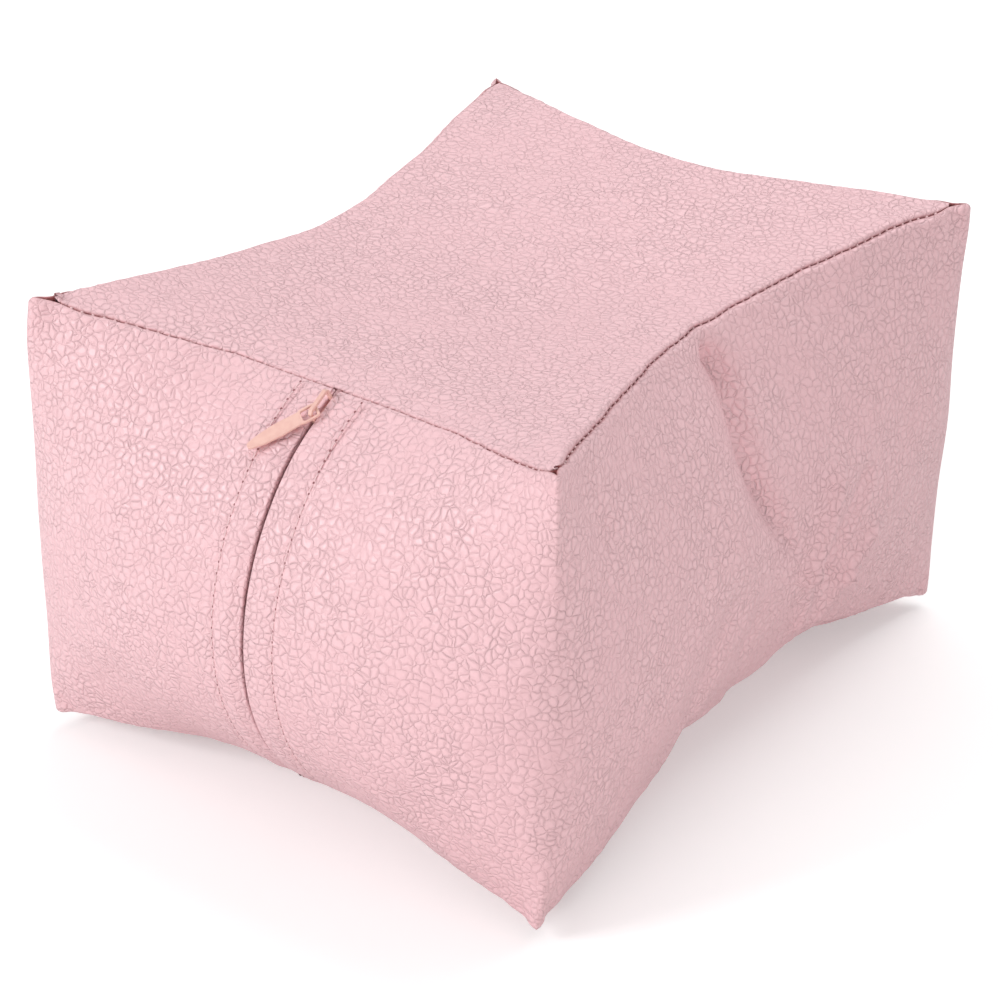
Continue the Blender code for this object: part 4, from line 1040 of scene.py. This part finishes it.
def build_camera():
    """Camera fitted to the photograph's corners, seams and outline."""
    azimuth, elevation, roll = (math.radians(angle) for angle in CAMERA_ANGLES)
    back = Vector((math.sin(azimuth) * math.cos(elevation),
                   -math.cos(azimuth) * math.cos(elevation), math.sin(elevation)))
    right = Vector((math.cos(azimuth), math.sin(azimuth), 0))
    up = back.cross(right)
    right, up = (right * math.cos(roll) + up * math.sin(roll),
                 up * math.cos(roll) - right * math.sin(roll))
    data = bpy.data.cameras.new("camera")
    data.sensor_width = SENSOR
    data.lens = FOCAL_PIXELS / PICTURE_PIXELS * SENSOR
    camera = bpy.data.objects.new("camera", data)
    camera.matrix_world = Matrix((right, up, back)).transposed().to_4x4()
    camera.location = Vector(CAMERA_TARGET) + back * CAMERA_DISTANCE
    bpy.context.scene.collection.objects.link(camera)
    bpy.context.scene.camera = camera


def area_light(name, place, aim, size, power, colour):
    data = bpy.data.lights.new(name, "AREA")
    data.shape = "RECTANGLE"
    data.size, data.size_y = size
    data.energy, data.color = power, colour
    light = bpy.data.objects.new(name, data)
    light.location = place
    light.rotation_euler = (Vector(aim) - Vector(place)).to_track_quat("-Z", "Y").to_euler()
    bpy.context.scene.collection.objects.link(light)


def for_camera(tree, others, seen):
    """Shader that shows the camera another one than the light meets."""
    mix = tree.nodes.new("ShaderNodeMixShader")
    sources = (tree.nodes.new("ShaderNodeLightPath").outputs["Is Camera Ray"],
               others.outputs[0], seen.outputs[0])
    for source, socket in zip(sources, mix.inputs):
        tree.links.new(source, socket)
    return mix.outputs[0]


def build_stage():
    """Studio: an even world, a pale floor that looks white to the camera, and three lamps."""
    scene = bpy.context.scene
    scene.view_settings.view_transform = "Standard"
    scene.world = bpy.data.worlds.new("studio")
    scene.world.use_nodes = True
    tree = scene.world.node_tree
    background, white = tree.nodes["Background"], tree.nodes.new("ShaderNodeBackground")
    for node, strength in ((background, WORLD_LIGHT), (white, 1.0)):
        node.inputs["Color"].default_value = (1, 1, 1, 1)
        node.inputs["Strength"].default_value = strength
    tree.links.new(for_camera(tree, background, white),
                   tree.nodes["World Output"].inputs["Surface"])

    material, tree, shader = node_material("pale_floor", FLOOR_COLOUR, 0.9)
    dark, glow = (add_node(tree, "ShaderNodeEmission", Strength=power)
                  for power in (0.0, FLOOR_LIFT))
    both = tree.nodes.new("ShaderNodeAddShader")
    tree.links.new(shader.outputs[0], both.inputs[0])
    tree.links.new(for_camera(tree, dark, glow), both.inputs[1])
    tree.links.new(both.outputs[0], tree.nodes["Material Output"].inputs["Surface"])
    corners = [(FLOOR_HALF * x, FLOOR_HALF * y, 0) for x, y in ((-1, -1), (1, -1), (1, 1), (-1, 1))]
    add_piece("floor", corners, [(0, 1, 2, 3)], material)
    for lamp in LAMPS:
        area_light(*lamp)


def clear_of_skin(pad, skins):
    """Move pad points in behind the leather where a fold presses on it."""
    trees = []
    for skin in skins:
        mesh = skin.data
        points = [vertex.co.copy() for vertex in mesh.vertices]
        open_to_light = [item.value > OPEN_SHADE for item in mesh.attributes["shade"].data]
        faces = [tuple(face.vertices) for face in mesh.polygons]
        faces = [face for face in faces if all(open_to_light[index] for index in face)]
        trees.append(BVHTree.FromPolygons(points, faces))
    for vertex in pad.data.vertices:
        for tree in trees:
            place, normal, _, away = tree.find_nearest(vertex.co, PAD_SEARCH)
            if place is None:
                continue
            proud = (vertex.co - place).dot(normal) + LEATHER + PAD_CLEARANCE
            if proud > 0:
                vertex.co -= normal * proud


def build_pad(skins, cloth):
    """Stuffed pad: its cloth swells by a short simulation inside the space of its solid."""
    source = bpy.data.objects["inner_cushion"]
    mesh = source.data.copy()
    mesh.name = "stuffed_pad"
    mesh.transform(source.matrix_world)
    mesh.materials.clear()
    pad = bpy.data.objects.new("stuffed_pad", mesh)
    bpy.context.scene.collection.objects.link(pad)
    normals = [vertex.normal.copy() for vertex in mesh.vertices]
    for vertex, normal in zip(mesh.vertices, normals):
        vertex.co -= normal * PAD_INSET
    remesh = pad.modifiers.new("remesh", "REMESH")
    remesh.mode, remesh.voxel_size = "VOXEL", PAD_VOXEL
    apply_modifiers(pad)
    before = [vertex.co.copy() for vertex in pad.data.vertices]
    settings = pad.modifiers.new("cloth", "CLOTH").settings
    settings.use_pressure = True
    settings.uniform_pressure_force = PAD_PRESSURE
    settings.effector_weights.gravity = 0.0
    settings.quality = PAD_QUALITY
    scene = bpy.context.scene
    for at in range(1, PAD_FRAMES + 1):
        scene.frame_set(at)
    apply_modifiers(pad)
    for vertex, start in zip(pad.data.vertices, before):
        shift = vertex.co - start
        if shift.length > PAD_CAP:
            vertex.co = start + shift.normalized() * PAD_CAP
    scene.frame_set(1)
    clear_of_skin(pad, skins)
    pad.data.shade_smooth()
    pad.data.materials.append(cloth)
    divide = pad.modifiers.new("smooth", "SUBSURF")
    divide.levels = divide.render_levels = 1
    return pad


def apply_modifiers(piece):
    """Replace a piece's mesh by what its modifiers make of it."""
    graph = bpy.context.evaluated_depsgraph_get()
    made = bpy.data.meshes.new_from_object(piece.evaluated_get(graph))
    piece.modifiers.clear()
    piece.data = made


def place(piece, body, slot, *nodes):
    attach(piece, body)
    if nodes:
        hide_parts(*nodes)


build_camera()
build_stage()
thread = twisted_material("thread_twist", THREAD_COLOUR)
# Dark discs of painted shade at the needle holes
dark = smooth_material("needle_hole_shadow", HOLE_SHADE_COLOUR, HOLE_SHADE_DEEP, 0.8, 900.0, 0.00002)
nylon = smooth_material("coil_nylon", NYLON_COLOUR, NYLON_DEEP, 0.38, 700.0, 0.00001)
metal = smooth_material("peach_paint", METAL_COLOUR, METAL_DEEP, 0.34, 420.0, 0.000012, coat=0.35)
tape_cloth = woven_material("tape_weave", TAPE_COLOUR, 0.0006)
pad_cloth = woven_material("pad_nonwoven", PAD_COLOUR, 0.0011, 0.9, 0.00012)

band_points, band_shade, low_line, high_line = build_band()
band = add_piece("side_band_skin", band_points.reshape(-1, 3), grid_faces(*band_points.shape[:2]),
                 leather_material("band_leather", (0.11, 0.23, 0.07)), band_shade.reshape(-1))
thicken(band)
top = build_panel("top_panel_skin", 1, high_line)
top.data.materials.append(leather_material("top_leather", (0.57, 0.02, 0.31)))
bottom = build_panel("bottom_panel_skin", -1, low_line)
bottom.data.materials.append(leather_material("bottom_leather", (0.29, 0.41, 0.13)))
for piece, node in ((band, "side_band"), (top, "top_panel"), (bottom, "bottom_panel")):
    place(piece, "cushion", "pink_leather", node)
pad = build_pad((band, top, bottom), pad_cloth)
place(pad, "cushion", "pad_cloth", "inner_cushion")
for side, label in ((-1, "left"), (1, "right")):
    place(build_topstitch(f"topstitch_{label}_thread", side * STITCH_X, thread, dark), "cushion",
          "pink_thread", f"topstitch_{label}")
    place(build_coil(f"zipper_coil_{label}_wound", side, nylon), "cushion", "pink_nylon",
          f"zipper_coil_{label}")
    tape = build_tape(f"zipper_tape_{label}_woven", side, tape_cloth)
    place(tape, "cushion", "pink_tape", f"zipper_tape_{label}")
for name, line in (("top", high_line), ("bottom", low_line)):
    place(build_seam_stitches(f"{name}_seam_stitches", line, thread), "cushion", "pink_thread",
          f"{name}_seam_thread")
place(rounded_copy("slider_rounded", "zipper_slider", 0.00022, metal), "slider", "peach_metal",
      "zipper_slider")
place(rounded_copy("pull_tab_rounded", "pull_tab", 0.00028, metal, 3), "tab", "peach_metal",
      "pull_tab")
